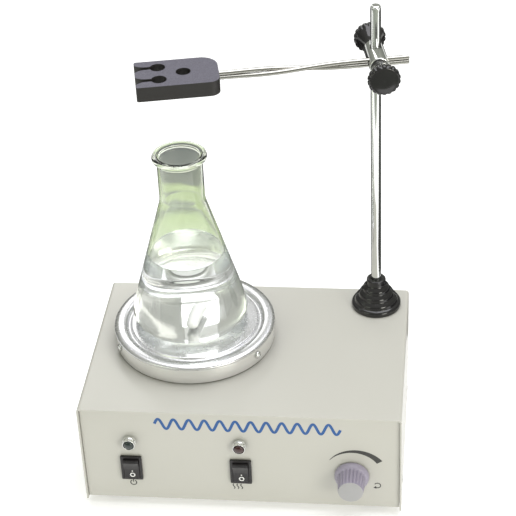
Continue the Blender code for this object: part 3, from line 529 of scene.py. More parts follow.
def all_materials():
    made = {
        "housing_paint": painted_sheet(),
        "turned_aluminium": turned_aluminium(),
        "holder_grey": faced_plastic(),
        "flask_glass": flask_glass(),
        "water": clear("water", (0.985, 0.99, 0.99), 1.333, 0.0).material,
    }
    made.update((name, metal(name, *values)) for name, values in METALS.items())
    made.update((name, plastic(name, *values)) for name, values in PLASTICS.items())
    return made


MATERIALS = all_materials()


# ---- housing

BEND_R = 2.6 * MM
SHEET = 1.2 * MM
HAIR = 0.25 * MM                  # softening of a sheared edge
FLANGE = 14 * MM                  # height of the tray's side flanges
# radii of the round holes
STUD_HOLE, ROD_HOLE, SHAFT_HOLE, SCREW_HOLE = 2.1 * MM, 4.0 * MM, 12.0 * MM, 1.8 * MM
LAMP_HOLE, KNOB_HOLE, FUSE_HOLE, FOOT_HOLE = 4.8 * MM, 4.9 * MM, 6.3 * MM, 2.8 * MM
# half width and half height of square shapes, in millimetres
SWITCH_HOLE, SWITCH_BODY, SWITCH_POCKET, TERMINAL = (6.8, 9.8), (6.5, 9.5), (5.9, 8.9), (2.4, 0.4)
INLET_HOLE, INLET_BODY = (13.8, 10.1), (13.4, 9.7)


def channel(width, height, length):
    """A sheet folded to an upside-down U: width along X, height along Z, length along Y."""
    half = width / 2
    inner_r = BEND_R - SHEET
    outline = [(-half, 0.0)]
    outline += arc(-half + BEND_R, height - BEND_R, BEND_R, 180, 90, 10)
    outline += arc(half - BEND_R, height - BEND_R, BEND_R, 90, 0, 10)
    outline += [(half, 0.0), (half - SHEET, 0.0)]
    outline += arc(half - BEND_R, height - BEND_R, inner_r, 0, 90, 10)
    outline += arc(-half + BEND_R, height - BEND_R, inner_r, 90, 180, 10)
    outline += [(-half + SHEET, 0.0)]
    bm = prism(outline, length)
    return placed(bm, at(0.0, length / 2, 0.0) @ TO_FRONT)


def side_holes():
    """Holes for the screws that hold the cover to the tray's flanges."""
    holes = bmesh.new()
    for number in (1, 2):
        spot = centre(f"cover_screw_{number}")
        drill(holes, SCREW_HOLE, -0.13, 0.13, at(0.0, spot.y, spot.z) @ TO_RIGHT, 24)
    return holes


def make_cover():
    low, high, mid = extent("top_cover")
    bm = channel(high.x - low.x, high.z - low.z, high.y - low.y)
    placed(bm, at(mid.x, mid.y, low.z))
    holes = bmesh.new()
    spots = [(centre(f"plate_standoff_{n}"), STUD_HOLE) for n in (1, 2, 3)]
    spots += [(centre("support_rod"), ROD_HOLE), (centre("motor_shaft"), SHAFT_HOLE)]
    for spot, radius in spots:
        drill(holes, radius, high.z - 8 * MM, high.z + 8 * MM, over(spot))
    bm = combined(bm, holes)
    bm = combined(bm, side_holes())
    stand_in("cover_shell", soften(bm, HAIR, 2, 60.0), "housing_paint", "top_cover",
             flat=True)


def make_tray():
    low, high, mid = extent("base_tray")
    height = high.z - low.z
    width = high.x - low.x
    bm = channel(high.y - low.y, height, width)
    flip = turned(90, "Z") @ turned(180, "X")
    placed(bm, at(mid.x, mid.y, high.z) @ flip)
    flanges = bmesh.new()
    for side in (-1, 1):
        outer = mid.x + side * (width / 2 - 0.1 * MM)
        edges = sorted((outer, outer - side * SHEET))
        merge(flanges, box_mesh((edges[0], low.y + 6 * MM, low.z + 0.2 * MM),
                                (edges[1], high.y - 6 * MM, low.z + FLANGE)))
    bm = combined(bm, flanges, "UNION")
    for holes in (side_holes(), panel_holes(low.y, high.y)):
        bm = combined(bm, holes)
    stand_in("tray_shell", soften(bm, HAIR, 2, 60.0), "housing_paint", "base_tray",
             flat=True)


def panel_holes(front, back):
    """Openings for what passes through the front and rear panels and for the feet's stems."""
    holes = bmesh.new()
    reach = 4 * MM
    for name in SIDES:
        merge(holes, box_about(centre(f"{name}_switch_housing"), *SWITCH_HOLE,
                               front - reach, front + reach))
    rounds = [(f"{name}_lamp_bezel", LAMP_HOLE, front) for name in SIDES]
    rounds += [("speed_knob", KNOB_HOLE, front), ("fuse_cap", FUSE_HOLE, back)]
    for node, radius, face in rounds:
        drill(holes, radius, -reach, reach, facing(node, face, TO_FRONT))
    merge(holes, box_about(centre("power_inlet"), *INLET_HOLE, back - reach, back + reach))
    for number in range(1, 5):
        drill(holes, FOOT_HOLE, 3 * MM, 11 * MM, over(centre(f"rubber_foot_{number}")), 24)
    return holes


def make_feet():
    for number in range(1, 5):
        node = f"rubber_foot_{number}"
        low, high, spot = extent(node)
        radius, seat = (high.x - low.x) / 2 / MM, 5.7
        profile = in_mm((0, 0), (2.0, 0), (2.4, -1.0), above=high.z)
        profile += in_mm((2.4, seat), (radius, seat))
        profile += in_mm((radius - 1.2, 0), (radius - 3.0, 0), (radius - 3.6, 0.8), (0, 0.8),
                         above=low.z)
        spun(f"foot_{number}", profile, 0.5 * MM, 3, 64, over(spot), "rubber", node, 32.0)


HEAD_R = 2.9 * MM
SHANK_R = 1.5 * MM


def make_screw(name, node, place, height, shank):
    """A domed screw head on Z = 0 with a cross recess, and its shank below."""
    dome = [(HEAD_R * sin(radians(a)), height * cos(radians(a))) for a in range(0, 80, 8)]
    profile = dome + [(HEAD_R, 0.12 * height), (HEAD_R, 0.0), (SHANK_R, 0.0), (SHANK_R, -shank),
                      (0.0, -shank)]
    reach, slot = HEAD_R * 0.55, HEAD_R * 0.11
    cross, other = (box_mesh((-x, -y, height * 0.45), (x, y, height * 2))
                    for x, y in ((reach, slot), (slot, reach)))
    bm = combined(lathe(profile, 48), combined(cross, other, "UNION"))
    stand_in(name, placed(bm, place), "chrome", node)


def make_screws():
    low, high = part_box("top_cover")
    for number in range(1, 5):
        node = f"cover_screw_{number}"
        spot = centre(node)
        side = 1 if spot.x > 0 else -1
        face = (high.x if side > 0 else low.x) + side * 0.3 * MM
        place = at(face, spot.y, spot.z) @ turned(90 * side, "Y") @ turned(25 * number, "Z")
        make_screw(f"side_screw_{number}", node, place, 0.6 * MM, 5.0 * MM)
    hub = centre("hot_plate")
    reach = size("plate_skirt").x / 2 + 0.3 * MM
    for number in range(1, 4):
        node = f"skirt_screw_{number}"
        spot = centre(node)
        outward = Matrix.Rotation(atan2(spot.y - hub.y, spot.x - hub.x), 4, "Z")
        place = at(hub.x, hub.y, spot.z) @ outward @ at(reach, 0, 0) @ TO_RIGHT
        place = place @ turned(20 * number, "Z")
        make_screw(f"plate_screw_{number}", node, place, 2.0 * MM, 4.6 * MM)


# ---- hot plate

def make_plate():
    low, high, hub = extent("hot_plate")
    edge = (high.x - low.x) / 2 / MM
    flat, groove, lip_bottom = -0.8, -2.4, -3.2       # below the top of the lip, in mm
    profile = in_mm((0, flat), (46.6, flat, 0.6), (47.4, groove, 0.5), (49.2, groove, 0.5),
                    (50.2, flat - 0.1, 0.8), (52.0, -0.12, 1.0), (54.8, 0, 1.2), (57.6, -0.35, 1.2),
                    (edge, -1.7, 1.3), (edge, lip_bottom, 0.5), (57.0, lip_bottom), above=high.z)
    profile += in_mm((57.0, 0), (53.0, 0), (53.0, 6.0), (0, 6.0), above=low.z)
    spun("plate", profile, 0.4 * MM, 5, 192, over(hub), "turned_aluminium", "hot_plate", 40.0)
    low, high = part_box("plate_skirt")
    outer = (high.x - low.x) / 2
    inner = 57.3 * MM
    profile = [(outer, high.z), (outer, low.z), (inner, low.z), (inner, high.z)]
    spun("skirt", profile, 0.3 * MM, 3, 192, over(hub), "cast_aluminium", "plate_skirt", 40.0,
         ring=True)


# ---- front panel

def make_switch(name):
    low, high, mid = extent(f"{name}_switch_housing")
    width, height = high.x - low.x, high.z - low.z
    thick = 2.0 * MM
    outline = rounded(rectangle(-width / 2, -height / 2, width / 2, height / 2), 0.9 * MM, 5, True)
    flange = soften(prism(outline, thick), 0.45 * MM, 4)
    placed(flange, at(mid.x, low.y + thick, mid.z) @ TO_FRONT)
    back = low.y + 19.3 * MM
    bm = combined(flange, box_about(mid, *SWITCH_BODY, low.y + 1.0 * MM, back), "UNION")
    for shift in (-6.0 * MM, 0.0):
        terminal = mid + Vector((0.0, 0.0, shift))
        bm = combined(bm, box_about(terminal, *TERMINAL, back - 2 * MM, high.y), "UNION")
    pocket = box_about(mid, *SWITCH_POCKET, low.y - 2 * MM, low.y + 7.5 * MM)
    bm = combined(bm, soften(pocket, 0.5 * MM, 3))
    stand_in(f"{name}_switch", bm, "switch_black", f"{name}_switch_housing", flat=True)
    make_rocker(name)


ROCKER_TILT = radians(10)


def rocker_place(name):
    """Matrix of a rocker about its pivot at rest, its bottom half pressed."""
    pivot = Vector(JOINTS[f"{name}_rock"]["pos_m"])
    return Matrix.Translation(pivot) @ Matrix.Rotation(ROCKER_TILT, 4, "X")


def make_rocker(name):
    """A rocker with two hollowed halves; its side view is an outline in (height, outward)."""
    width = size(f"{name}_rocker").x
    ridge, reach, foot, dish, steps = 1.6, 8.0, -3.4, 0.22, 12
    end = ridge + reach * tan(ROCKER_TILT)
    shares = [i / steps for i in range(1, steps)]
    upper = [(reach * t, ridge + (end - ridge) * t - dish * sin(pi * t)) for t in shares]
    right = upper + arc(0, 0, hypot(reach, end), degrees(atan2(end, reach)), -20, 10)
    left = [(-x, y) for x, y in reversed(right)]
    outline = in_mm((0, ridge), *right, (5, foot), (-5, foot), *left)
    bm = soften(prism(outline, width), 0.35 * MM, 3, 50.0)
    stand = Matrix(((0, 0, 1, -width / 2), (0, -1, 0, 0), (1, 0, 0, 0), (0, 0, 0, 1)))
    stand_in(f"{name}_rocker_cap", placed(bm, rocker_place(name) @ stand), "switch_black",
             f"{name}_rocker", flat=True)
    marks = lathe(in_mm((1.2, 0.0), (1.95, 0.0), (1.95, 0.12), (1.2, 0.12)), 40, closed=True)
    placed(marks, at(0.5 * MM, 5.4 * MM, 0.0))
    dot = lathe(in_mm((0.0, 0.0), (0.5, 0.0), (0.5, 0.12), (0.0, 0.12)), 24)
    merge(marks, placed(dot, at(0.5 * MM, 1.8 * MM, 0.0)))
    lean = ROCKER_TILT
    down = Matrix(((1, 0, 0, 0), (0, -sin(lean), -cos(lean), (0.12 - ridge) * MM),
                   (0, -cos(lean), sin(lean), 0), (0, 0, 0, 1)))
    placed(marks, rocker_place(name) @ down)
    piece(f"{name}_rocker_marks", marks, "mark_white", f"{name}_button")


def make_lamp(name, lens_look):
    bezel = f"{name}_lamp_bezel"
    place = facing(bezel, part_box(bezel)[0].y + 5.5 * MM, TO_FRONT)
    profile = in_mm((5.15, 0.3), (5.15, 2.2, 0.5), (4.75, 3.1, 0.5), (4.45, 3.4, 0.2),
                    (4.4, 5.3, 0.3), (4.0, 5.5, 0.2), (3.85, 5.0), (3.85, -6), (4.5, -6),
                    (4.5, 0.3))
    spun(f"{name}_bezel", profile, 0.15 * MM, 4, 96, place, "chrome", bezel, 45.0, ring=True)
    dome = [(3.6 * sin(radians(a)), 4.8 + 2.2 * cos(radians(a))) for a in range(0, 91, 9)]
    bm = lathe(in_mm(*dome, (3.6, -9), (0, -9)), 64)
    stand_in(f"{name}_lens", placed(bm, place), lens_look, f"{name}_lamp_lens", sharp=60.0)


def make_knob():
    low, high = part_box("speed_knob")
    panel = high.y + 0.8 * MM
    place = facing("speed_knob", panel, TO_FRONT)
    length = panel - low.y
    flutes = 22
    profile = in_mm((0, -0.6), (8.55, -0.6, 0.1), (8.9, -0.65, 0.1), (9.0, -1.2, 0.2), (9.15, -2.0),
                    (9.6, -6.5), above=length)
    profile += in_mm((10.1, 5.6, 1.0), (11.6, 4.4, 1.0), (12.5, 2.6, 1.2), (12.5, 0.8), (6.5, 0.8),
                     (6.5, 5.2), (3.3, 5.2))
    profile += in_mm((3.3, -4.6), (0, -4.6), above=length)

    def fluted(radius, height, turn):
        on_grip = 8.7 * MM < radius < 10.8 * MM and 4.9 * MM < height < length - 0.62 * MM
        if not on_grip:
            return radius
        return radius - 1.0 * MM * (0.5 + 0.5 * cos(turn * flutes)) ** 2

    spun("knob", profile, 0.25 * MM, 4, flutes * 12, place, "knob_grey", "speed_knob", 50.0,
         wave=fluted)
    disc = in_mm((0, -0.58), (0, 0), (8.3, 0), (8.65, -0.2), (8.7, -0.58), above=length)
    piece("knob_cap", placed(lathe(disc, 96, closed=True), place), "knob_cap",
          "speed_control")


# ---- print on the front panel

INK = 0.06 * MM                   # how thick the print is
PEN = 0.75 * MM                   # how wide its lines are


def on_panel(bm):
    """Stand a flat mesh, drawn in x and height, on the front panel."""
    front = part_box("base_tray")[0].y
    return placed(bm, at(0.0, front, 0.0) @ TO_FRONT)


def heading(points, i):
    """Unit direction of a row of points at one of them."""
    last = len(points) - 1
    return (Vector(points[min(i + 1, last)]) - Vector(points[max(i - 1, 0)])).normalized()


def stroke(points, width):
    """A ribbon of even width along open points."""
    left, right = [], []
    for i, point in enumerate(points):
        ahead = heading(points, i)
        side = Vector((-ahead.y, ahead.x)) * width / 2
        left.append(tuple(Vector(point) + side))
        right.append(tuple(Vector(point) - side))
    return strip(left, right)


def strip(left, right):
    """A thin closed solid between two rows of points."""
    bm = bmesh.new()
    rows = []
    for row, level in ((left, 0.0), (right, 0.0), (right, INK), (left, INK)):
        rows.append([bm.verts.new((x, y, level)) for x, y in row])
    for a, b in zip(rows, rows[1:] + rows[:1]):
        for i in range(len(left) - 1):
            bm.faces.new((a[i], a[i + 1], b[i + 1], b[i]))
    for end in (0, -1):
        bm.faces.new([row[end] for row in rows])
    bmesh.ops.recalc_face_normals(bm, faces=bm.faces)
    return bm


def print_piece(name, meshes, look):
    joined = bmesh.new()
    for mesh in meshes:
        merge(joined, mesh)
    piece(name, on_panel(joined), look, "root")


def make_prints():
    make_title_wave()
    make_scale()
    for name in SIDES:
        spot = centre(f"{name}_switch_housing")
        under = spot.z - size(f"{name}_switch_housing").z / 2 - 4.6 * MM
        drawn = power_sign(spot.x, under) if name == "power" else heat_sign(spot.x - 3 * MM, under)
        print_piece(f"{name}_sign", drawn, "ink_grey")


def make_title_wave():
    """A wave ornament across the panel."""
    left, right, steps, periods = -60 * MM, 72 * MM, 360, 12
    level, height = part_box("base_tray")[0].z + 72 * MM, 4.4 * MM
    shares = [i / steps for i in range(steps + 1)]
    wave = [(left + (right - left) * t, level + height * sin(2 * pi * periods * t)) for t in shares]
    print_piece("title_wave", [stroke(wave, 2.1 * MM)], "ink_blue")


def make_scale():
    """A wedge round the knob that widens clockwise, and a turning arrow beside it."""
    hub = centre("speed_knob")
    start, end, steps = 140.0, 33.0, 60

    def edge(inner, growth):
        """A row of points round the knob whose distance in millimetres grows along it."""
        row = []
        for i in range(steps + 1):
            angle = radians(start + (end - start) * i / steps)
            away = (inner + growth * i / steps) * MM
            row.append((hub.x + away * cos(angle), hub.z + away * sin(angle)))
        return row

    print_piece("speed_scale", [strip(edge(20.9, 5.0), edge(20.6, 0.6))], "ink_grey")
    cx, cz, r = hub.x + 18.2 * MM, hub.z - 9.0 * MM, 2.2 * MM
    ring = stroke(arc(cx, cz, r, 150, -130, 28), PEN)
    tip = Vector((cx, cz)) + Vector((cos(radians(-130)), sin(radians(-130)))) * r
    head = prism([(tip.x - 1.5 * MM, tip.y - 0.5 * MM), (tip.x + 0.7 * MM, tip.y - 1.5 * MM),
                  (tip.x + 0.5 * MM, tip.y + 1.3 * MM)], INK)
    print_piece("turn_sign", [ring, head], "ink_grey")


def power_sign(x, z):
    ring = stroke(arc(x, z, 2.2 * MM, 60, -240, 30), PEN)
    line = stroke([(x, z + 0.5 * MM), (x, z + 2.9 * MM)], PEN)
    return [ring, line]


def heat_sign(x, z):
    waves = []
    for shift in (-2.8 * MM, 0.0, 2.8 * MM):
        points = [(x + shift + 0.65 * MM * sin(2 * pi * i / 24), z + (i / 5 - 2.4) * MM)
                  for i in range(25)]
        waves.append(stroke(points, PEN))
    return waves


# ---- rear panel

def make_inlet():
    low, high, mid = extent("power_inlet")
    outline = rounded(rectangle(low.x, low.z, high.x, high.z), 2.2 * MM, 6, True)
    flange = soften(prism(outline, 2.6 * MM), 0.4 * MM, 3)
    bm = placed(flange, at(0.0, high.y, 0.0) @ TO_FRONT)
    body = box_about(mid, *INLET_BODY, low.y, high.y - 1.6 * MM)
    bm = combined(bm, soften(body, 0.6 * MM, 3), "UNION")
    shape = in_mm((-12, -8.2), (12, -8.2), (12, 3.2), (7.5, 8.2), (-7.5, 8.2), (-12, 3.2))
    shape = rounded([(mid.x + x, mid.z + z) for x, z in shape], 0.8 * MM, 4, True)
    recess = placed(prism(shape, 25 * MM), at(0.0, high.y + 5.1 * MM, 0.0) @ TO_FRONT)
    bm = combined(bm, recess)
    for pin in ("live", "neutral", "earth"):
        pin_low, pin_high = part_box(f"inlet_pin_{pin}")
        gap = Vector((0.3 * MM, 0.0, 0.3 * MM))
        bm = combined(bm, box_mesh(pin_low - gap, pin_high + gap))
        blade = soften(box_mesh(pin_low, pin_high), 0.45 * MM, 3)
        stand_in(f"pin_{pin}", blade, "steel", f"inlet_pin_{pin}")
    stand_in("inlet", bm, "matte_black", "power_inlet", flat=True)


def make_fuse():
    place = facing("fuse_holder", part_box("fuse_holder")[1].y - 2.0 * MM, TO_BACK)
    profile = in_mm((7.5, 0.3), (7.5, 2.0, 0.6), (4.3, 2.0, 0.3), (4.3, -12), (6.0, -12),
                    (6.0, 0.3))
    spun("fuse_body", profile, 0.15 * MM, 4, 96, place, "matte_black", "fuse_holder", 32.0,
         ring=True)
    ribs = 24

    def ribbed(radius, height, turn):
        if radius > 5.6 * MM and 2.8 * MM < height < 4.5 * MM:
            return radius - 0.25 * MM * (0.5 + 0.5 * cos(turn * ribs))
        return radius

    profile = in_mm((0, 5), (5.4, 5.0, 0.4), (6.0, 4.4, 0.3), (6.0, 2.4), (4.0, 2.4), (4, -11),
                    (0, -11))
    bm = lathe(rounded(profile, 0.2 * MM, 4), ribs * 8, wave=ribbed)
    bm = combined(bm, box_mesh((-8 * MM, -0.7 * MM, 4.0 * MM), (8 * MM, 0.7 * MM, 8 * MM)))
    stand_in("fuse_knob", placed(bm, place), "matte_black", "fuse_cap", sharp=40.0)


# ---- rod, boss, arm

def make_rod():
    low, high, spot = extent("support_rod")
    radius = (high.x - low.x) / 2
    profile = [(0.0, high.z), (radius - 0.3 * MM, high.z, 2.4 * MM),
               (radius, high.z - 3.0 * MM, 1.5 * MM), (radius, low.z), (0.0, low.z)]
    spun("rod_tube", profile, 0.2 * MM, 8, 96, over(spot), "chrome", "support_rod", 50.0)
    make_rod_base(spot)


def make_rod_base(spot):
    """A stepped cone under a plain collar."""
    low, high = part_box("rod_base")
    bore = 4.0 * MM
    profile = in_mm((18.5, 0, 0.3), (18.5, 2.9, 0.9), (17.3, 4.1, 0.5), (16.3, 4.5, 0.4),
                    (15.7, 6.9, 0.8), (14.6, 8.0, 0.6), (13.2, 9.3, 0.5), (12.8, 11.6, 0.9),
                    (11.6, 12.9, 0.6), (10.3, 14.2, 0.5), (9.9, 16.4, 0.9), (8.9, 17.6, 0.8),
                    (7.4, 19.2, 1.0), (7.15, 20.6, 0.6), (7.15, 23.3, 0.7), (6.6, 24.0, 0.5),
                    above=low.z)
    profile += [(bore, high.z, 0.3 * MM), (bore, low.z, 0.2 * MM)]
    spun("rod_foot", profile, 0.3 * MM, 5, 128, over(spot), "gloss_black", "rod_base", 40.0,
         ring=True)


ALONG = Vector(JOINTS["arm_reach"]["axis"]).normalized()
REARWARD = Vector(JOINTS["rear_clamp_travel"]["axis"]).normalized()
CROSSING = Vector(JOINTS["front_clamp_turn"]["pos_m"])
UP = Vector((0.0, 0.0, 1.0))
ARM_PLACE = Matrix.Translation(CROSSING) @ Matrix((ALONG, REARWARD, UP)).transposed().to_4x4()
BOSS_PLACE = ARM_PLACE @ TO_BACK                      # +Z runs along the boss, towards the back
ROD_BEHIND = (centre("support_rod") - CROSSING).dot(REARWARD)


def make_boss():
    front, rear = span("boss_body", REARWARD, CROSSING)
    radius = reach_from("boss_body", REARWARD, CROSSING)
    profile = [(0.0, rear), (radius, rear, 0.8 * MM), (radius, front, 0.8 * MM), (0.0, front)]
    bm = placed(lathe(rounded(profile, 0.8 * MM, 6), 96), BOSS_PLACE)
    rod_bore = placed(rod_mesh(4.0 * MM, -20 * MM, 20 * MM),
                      ARM_PLACE @ at(0.0, ROD_BEHIND, 0.0))
    arm_bore = placed(rod_mesh(3.65 * MM, -20 * MM, 20 * MM), ARM_PLACE @ TO_RIGHT)
    bm = combined(combined(bm, rod_bore), arm_bore)
    threads = merge(rod_mesh(2.7 * MM, front - 3 * MM, -1.7 * MM),
                    rod_mesh(2.7 * MM, ROD_BEHIND + 2 * MM, rear + 3 * MM))
    bm = combined(bm, placed(threads, BOSS_PLACE))
    stand_in("boss", bm, "chrome", "boss_body", sharp=40.0)


def make_clamp(name):
    """A trumpet-shaped knob with a scalloped rim, and the threaded screw that it turns with."""
    near, far = span(f"{name}_clamp_knob", REARWARD, CROSSING)
    length = far - near
    rim = 6.0 * MM
    flare = length - rim
    rim_r = reach_from(f"{name}_clamp_knob", REARWARD, CROSSING)
    scallops = 18
    hub = [(6.2, 0.0, 0.4), (5.9, 0.10, 0.8), (6.3, 0.36, 2.0), (7.7, 0.62, 2.5), (9.2, 0.85, 2.0),
           (10.3, 0.98, 1.0)]
    edge = rim_r / MM
    profile = [(2.7 * MM, 0.0)]
    profile += [(r * MM, flare * share, soft * MM) for r, share, soft in hub]
    profile += in_mm((edge - 0.3, 0.5, 0.5), (edge, 1.5, 0.7), above=flare)
    profile += in_mm((edge, -1.8, 0.9), (edge - 1.5, -0.5, 0.8), (edge - 2.6, -0.45, 1.0),
                     (5.0, -0.05, 3.0), (0, 0), (0, -5), (2.7, -5), above=length)

    def scalloped(radius, height, turn):
        if radius < rim_r - 1.6 * MM or height < flare * 0.9:
            return radius
        hollow = max(cos(turn * scallops), -0.35) + 0.35
        return radius - 0.42 * MM * hollow * min(1.0, (radius - rim_r + 1.6 * MM) / (1.2 * MM))

    place = BOSS_PLACE @ (at(0, 0, far) @ turned(180, "X") if name == "front" else at(0, 0, near))
    spun(f"{name}_knob_grip", profile, 0.3 * MM, 5, scallops * 12, place, "gloss_black",
         f"{name}_clamp_knob", 50.0, ring=True, wave=scalloped)
    make_clamp_screw(name)


def make_clamp_screw(name):
    """A screw with rolled thread ridges."""
    low, high = span(f"{name}_clamp_screw", REARWARD, CROSSING)
    pitch = 1.25 * MM
    count = int((high - low) / pitch)
    profile = [(0.0, low), (1.9 * MM, low)]
    for i in range(count):
        profile += [(2.4 * MM, low + pitch * (i + 0.4)), (2.05 * MM, low + pitch * (i + 0.9))]
    profile += [(2.05 * MM, high), (0.0, high)]
    bm = placed(lathe(profile, 48), BOSS_PLACE)
    stand_in(f"{name}_thread", bm, "steel", f"{name}_clamp_screw")


def wire_path(phase):
    """One wire of the pair: side by side at both ends, with half a twist between them."""
    left, right = span("arm_wire_1", ALONG, CROSSING)
    holder_right = span("probe_holder", ALONG, CROSSING)[1]
    spacing = 3.4 * MM
    twist_from, twist_to = holder_right + 4 * MM, -14 * MM
    count = 160
    points = []
    for i in range(count + 1):
        x = left + (right - left) * i / count
        share = min(max((x - twist_from) / (twist_to - twist_from), 0.0), 1.0)
        share = share * share * (3 - 2 * share)
        angle = phase + pi * share
        points.append(Vector((x, spacing / 2 * sin(angle), spacing / 2 * cos(angle))))
    return points


def tube(points, radius, sides=24):
    """A round bar along points that run mostly along X, with softened ends."""
    bm = bmesh.new()
    rings = []
    turns = [2 * pi * k / sides for k in range(sides)]
    for i, point in enumerate(points):
        ahead = heading(points, i)
        side = ahead.cross(UP).normalized()
        top = side.cross(ahead)
        thin = radius * 0.8 if i in (0, len(points) - 1) else radius
        rings.append([bm.verts.new(point + (side * cos(a) + top * sin(a)) * thin) for a in turns])
    for first, second in zip(rings, rings[1:]):
        bridge(bm, first, second, sides)
    for ring in (rings[0], rings[-1]):
        bm.faces.new(ring)
    bmesh.ops.recalc_face_normals(bm, faces=bm.faces)
    return bm


def make_arm():
    for number, phase in enumerate((0.0, pi), 1):
        points = wire_path(phase)
        step = Vector((0.3 * MM, 0, 0))
        path = [points[0], points[0] + step, *points[1:-1], points[-1] - step, points[-1]]
        bm = placed(tube(path, 1.6 * MM), ARM_PLACE)
        stand_in(f"wire_{number}", bm, "wire_steel", f"arm_wire_{number}", sharp=40.0)
    make_holder()


def make_holder():
    left, right = span("probe_holder", ALONG, CROSSING)
    near, far = span("probe_holder", REARWARD, CROSSING)
    height = size("probe_holder").z
    front_r, back_r, left_r = 7.0 * MM, 12.0 * MM, 1.5 * MM
    outline = arc(left + left_r, near + left_r, left_r, 180, 270, 5)
    outline += arc(right - front_r, near + front_r, front_r, 270, 360, 14)
    outline += arc(right - back_r, far - back_r, back_r, 0, 90, 20)
    outline += arc(left + left_r, far - left_r, left_r, 90, 180, 5)
    base = at(0.0, 0.0, -height / 2)
    bm = placed(prism(outline, height), base)
    hole_x = (left + right) / 2 + 4.5 * MM
    bm = combined(bm, placed(rod_mesh(5.0 * MM, -height, height), at(hole_x, 0.0, 0.0)))
    for side in (-1, 1):
        bm = combined(bm, keyhole(left, 16.0 * MM, side * 8.5 * MM, height))
    soften(bm, 0.4 * MM, 3, 50.0)
    depth, socket_r = 12.0 * MM, 1.9 * MM
    slot = arc(1.7 * MM, 0.0, socket_r, -90, 90, 14) + arc(-1.7 * MM, 0.0, socket_r, 90, 270, 14)
    socket = placed(prism(slot, depth + 6 * MM), at(right - depth, 0.0, 0.0) @ TO_RIGHT)
    bm = combined(bm, socket)
    stand_in("holder", placed(bm, ARM_PLACE), "holder_grey", "probe_holder",
             sharp=40.0, flat=True)


def keyhole(left, inset, level, height):
    """A round hole joined by a narrow neck to a mouth that flares at the holder's left end."""
    radius, half_neck, half_mouth = 5.2 * MM, 1.7 * MM, 10.5 * MM
    opening = 90 - degrees(acos(half_neck / radius))
    outline = arc(left + inset, level, radius, 180 - opening, -180 + opening, 40)
    beyond, flare, steps = left - 2 * MM, 9.5 * MM, 14
    lip = []
    for i in range(steps):
        turn = pi / 2 * i / steps
        spread = (half_mouth - half_neck) * (1 - cos(turn))
        lip.append((beyond + flare * (1 - sin(turn)), half_neck + min(spread, 6.4 * MM)))
    lip.append((beyond, lip[-1][1]))
    outline += [(x, level - y) for x, y in lip]
    outline += [(x, level + y) for x, y in reversed(lip)]
    return placed(prism(outline, height * 2), at(0.0, 0.0, -height))


# ---- flask

GLASS = 1.9                       # thickness of the wall in millimetres


def flask_profile():
    """Outer and inner outline of the flask above its base, in one loop from axis to axis."""
    low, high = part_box("flask")
    top, base = (high.z - low.z) / MM, (high.x - low.x) / 2 / MM
    corner, neck_r, neck = 8.0, 16.25, top - 34.8
    outer = [(0, 1), (base - corner - 8, 0.35), (base - corner - 2, 0)]
    outer += arc(base - corner, corner, corner, -80, 15, 14)
    outer += arc(neck_r + 22, neck, 22, 196, 180, 8)
    outer += [(neck_r, top - 7.5), (neck_r + 0.25, top - 5.6)]
    outer += arc(17.45, top - 2.6, 2.05, -75, 110, 14)
    outer += [(15.8, top - 0.25), (15.0, top - 0.9), (neck_r - GLASS, top - 2.4)]
    inner = [(neck_r - GLASS, top - 8)]
    inner += arc(neck_r - GLASS + 24, neck, 24, 180, 196, 8)
    inside = base - GLASS - corner
    inner += arc(inside + 1, corner + GLASS - 1, corner - 1, 15, -80, 12)
    inner += [(inside - 2, GLASS), (0, GLASS + 0.6)]
    return in_mm(*outer), in_mm(*inner)


def make_flask():
    outer, inner = flask_profile()
    low, _, mid = extent("flask")
    place = at(mid.x, mid.y, low.z)
    bm = placed(lathe(outer + inner, 192), place)
    stand_in("flask_wall", bm, "flask_glass", "flask", sharp=60.0)
    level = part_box("liquid")[1].z - low.z
    bite = 0.12 * MM
    wet = [(r + (bite if r > 1e-6 else 0.0), h - bite) for r, h in reversed(inner)
           if h < level - 3 * MM]
    wall = (cone_at(inner, level) + bite) / MM
    meniscus = in_mm((wall, 0.8), (wall - 0.25, 0.4), (wall - 0.6, 0.15), (wall - 1.2, 0.03),
                     (wall - 2.0, 0), (0, 0), above=level)
    bm = placed(lathe(wet + meniscus, 192), place)
    stand_in("clear_liquid", bm, "water", "liquid", sharp=60.0)
    make_bar()


def cone_at(inner, level):
    """Radius of the inner wall at a height, from its outline."""
    for (r1, h1), (r2, h2) in zip(inner, inner[1:]):
        if min(h1, h2) <= level <= max(h1, h2) and h1 != h2:
            return r1 + (r2 - r1) * (level - h1) / (h2 - h1)
    return inner[0][0]


def make_bar():
    """A coated bar magnet with the ring that keeps its middle off the glass."""
    low, high, spot = extent("stir_bar")
    half = (high.y - low.y) / 2
    radius = (high.z - low.z) / 2
    body = radius - 0.2 * MM
    end = [(body * sin(radians(a)), half - body + body * cos(radians(a))) for a in range(0, 91, 9)]
    ring = [(body, 2.2 * MM), (radius - 0.03 * MM, 1.4 * MM), (radius, 0.0)]
    profile = end + ring
    profile += [(r, -h) for r, h in reversed(profile) if h > 0.0]
    bm = placed(lathe(profile, 64), Matrix.Translation(spot) @ TO_BACK)
    stand_in("bar", bm, "ptfe", "stir_bar", sharp=50.0)


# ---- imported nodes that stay

def dress_internals():
    """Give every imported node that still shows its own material."""
    for node, obj in NODES.items():
        if obj.hide_render:
            continue
        obj.data.materials.clear()
        obj.data.materials.append(MATERIALS[SLOTS[node]])


# ---- stage, light, camera

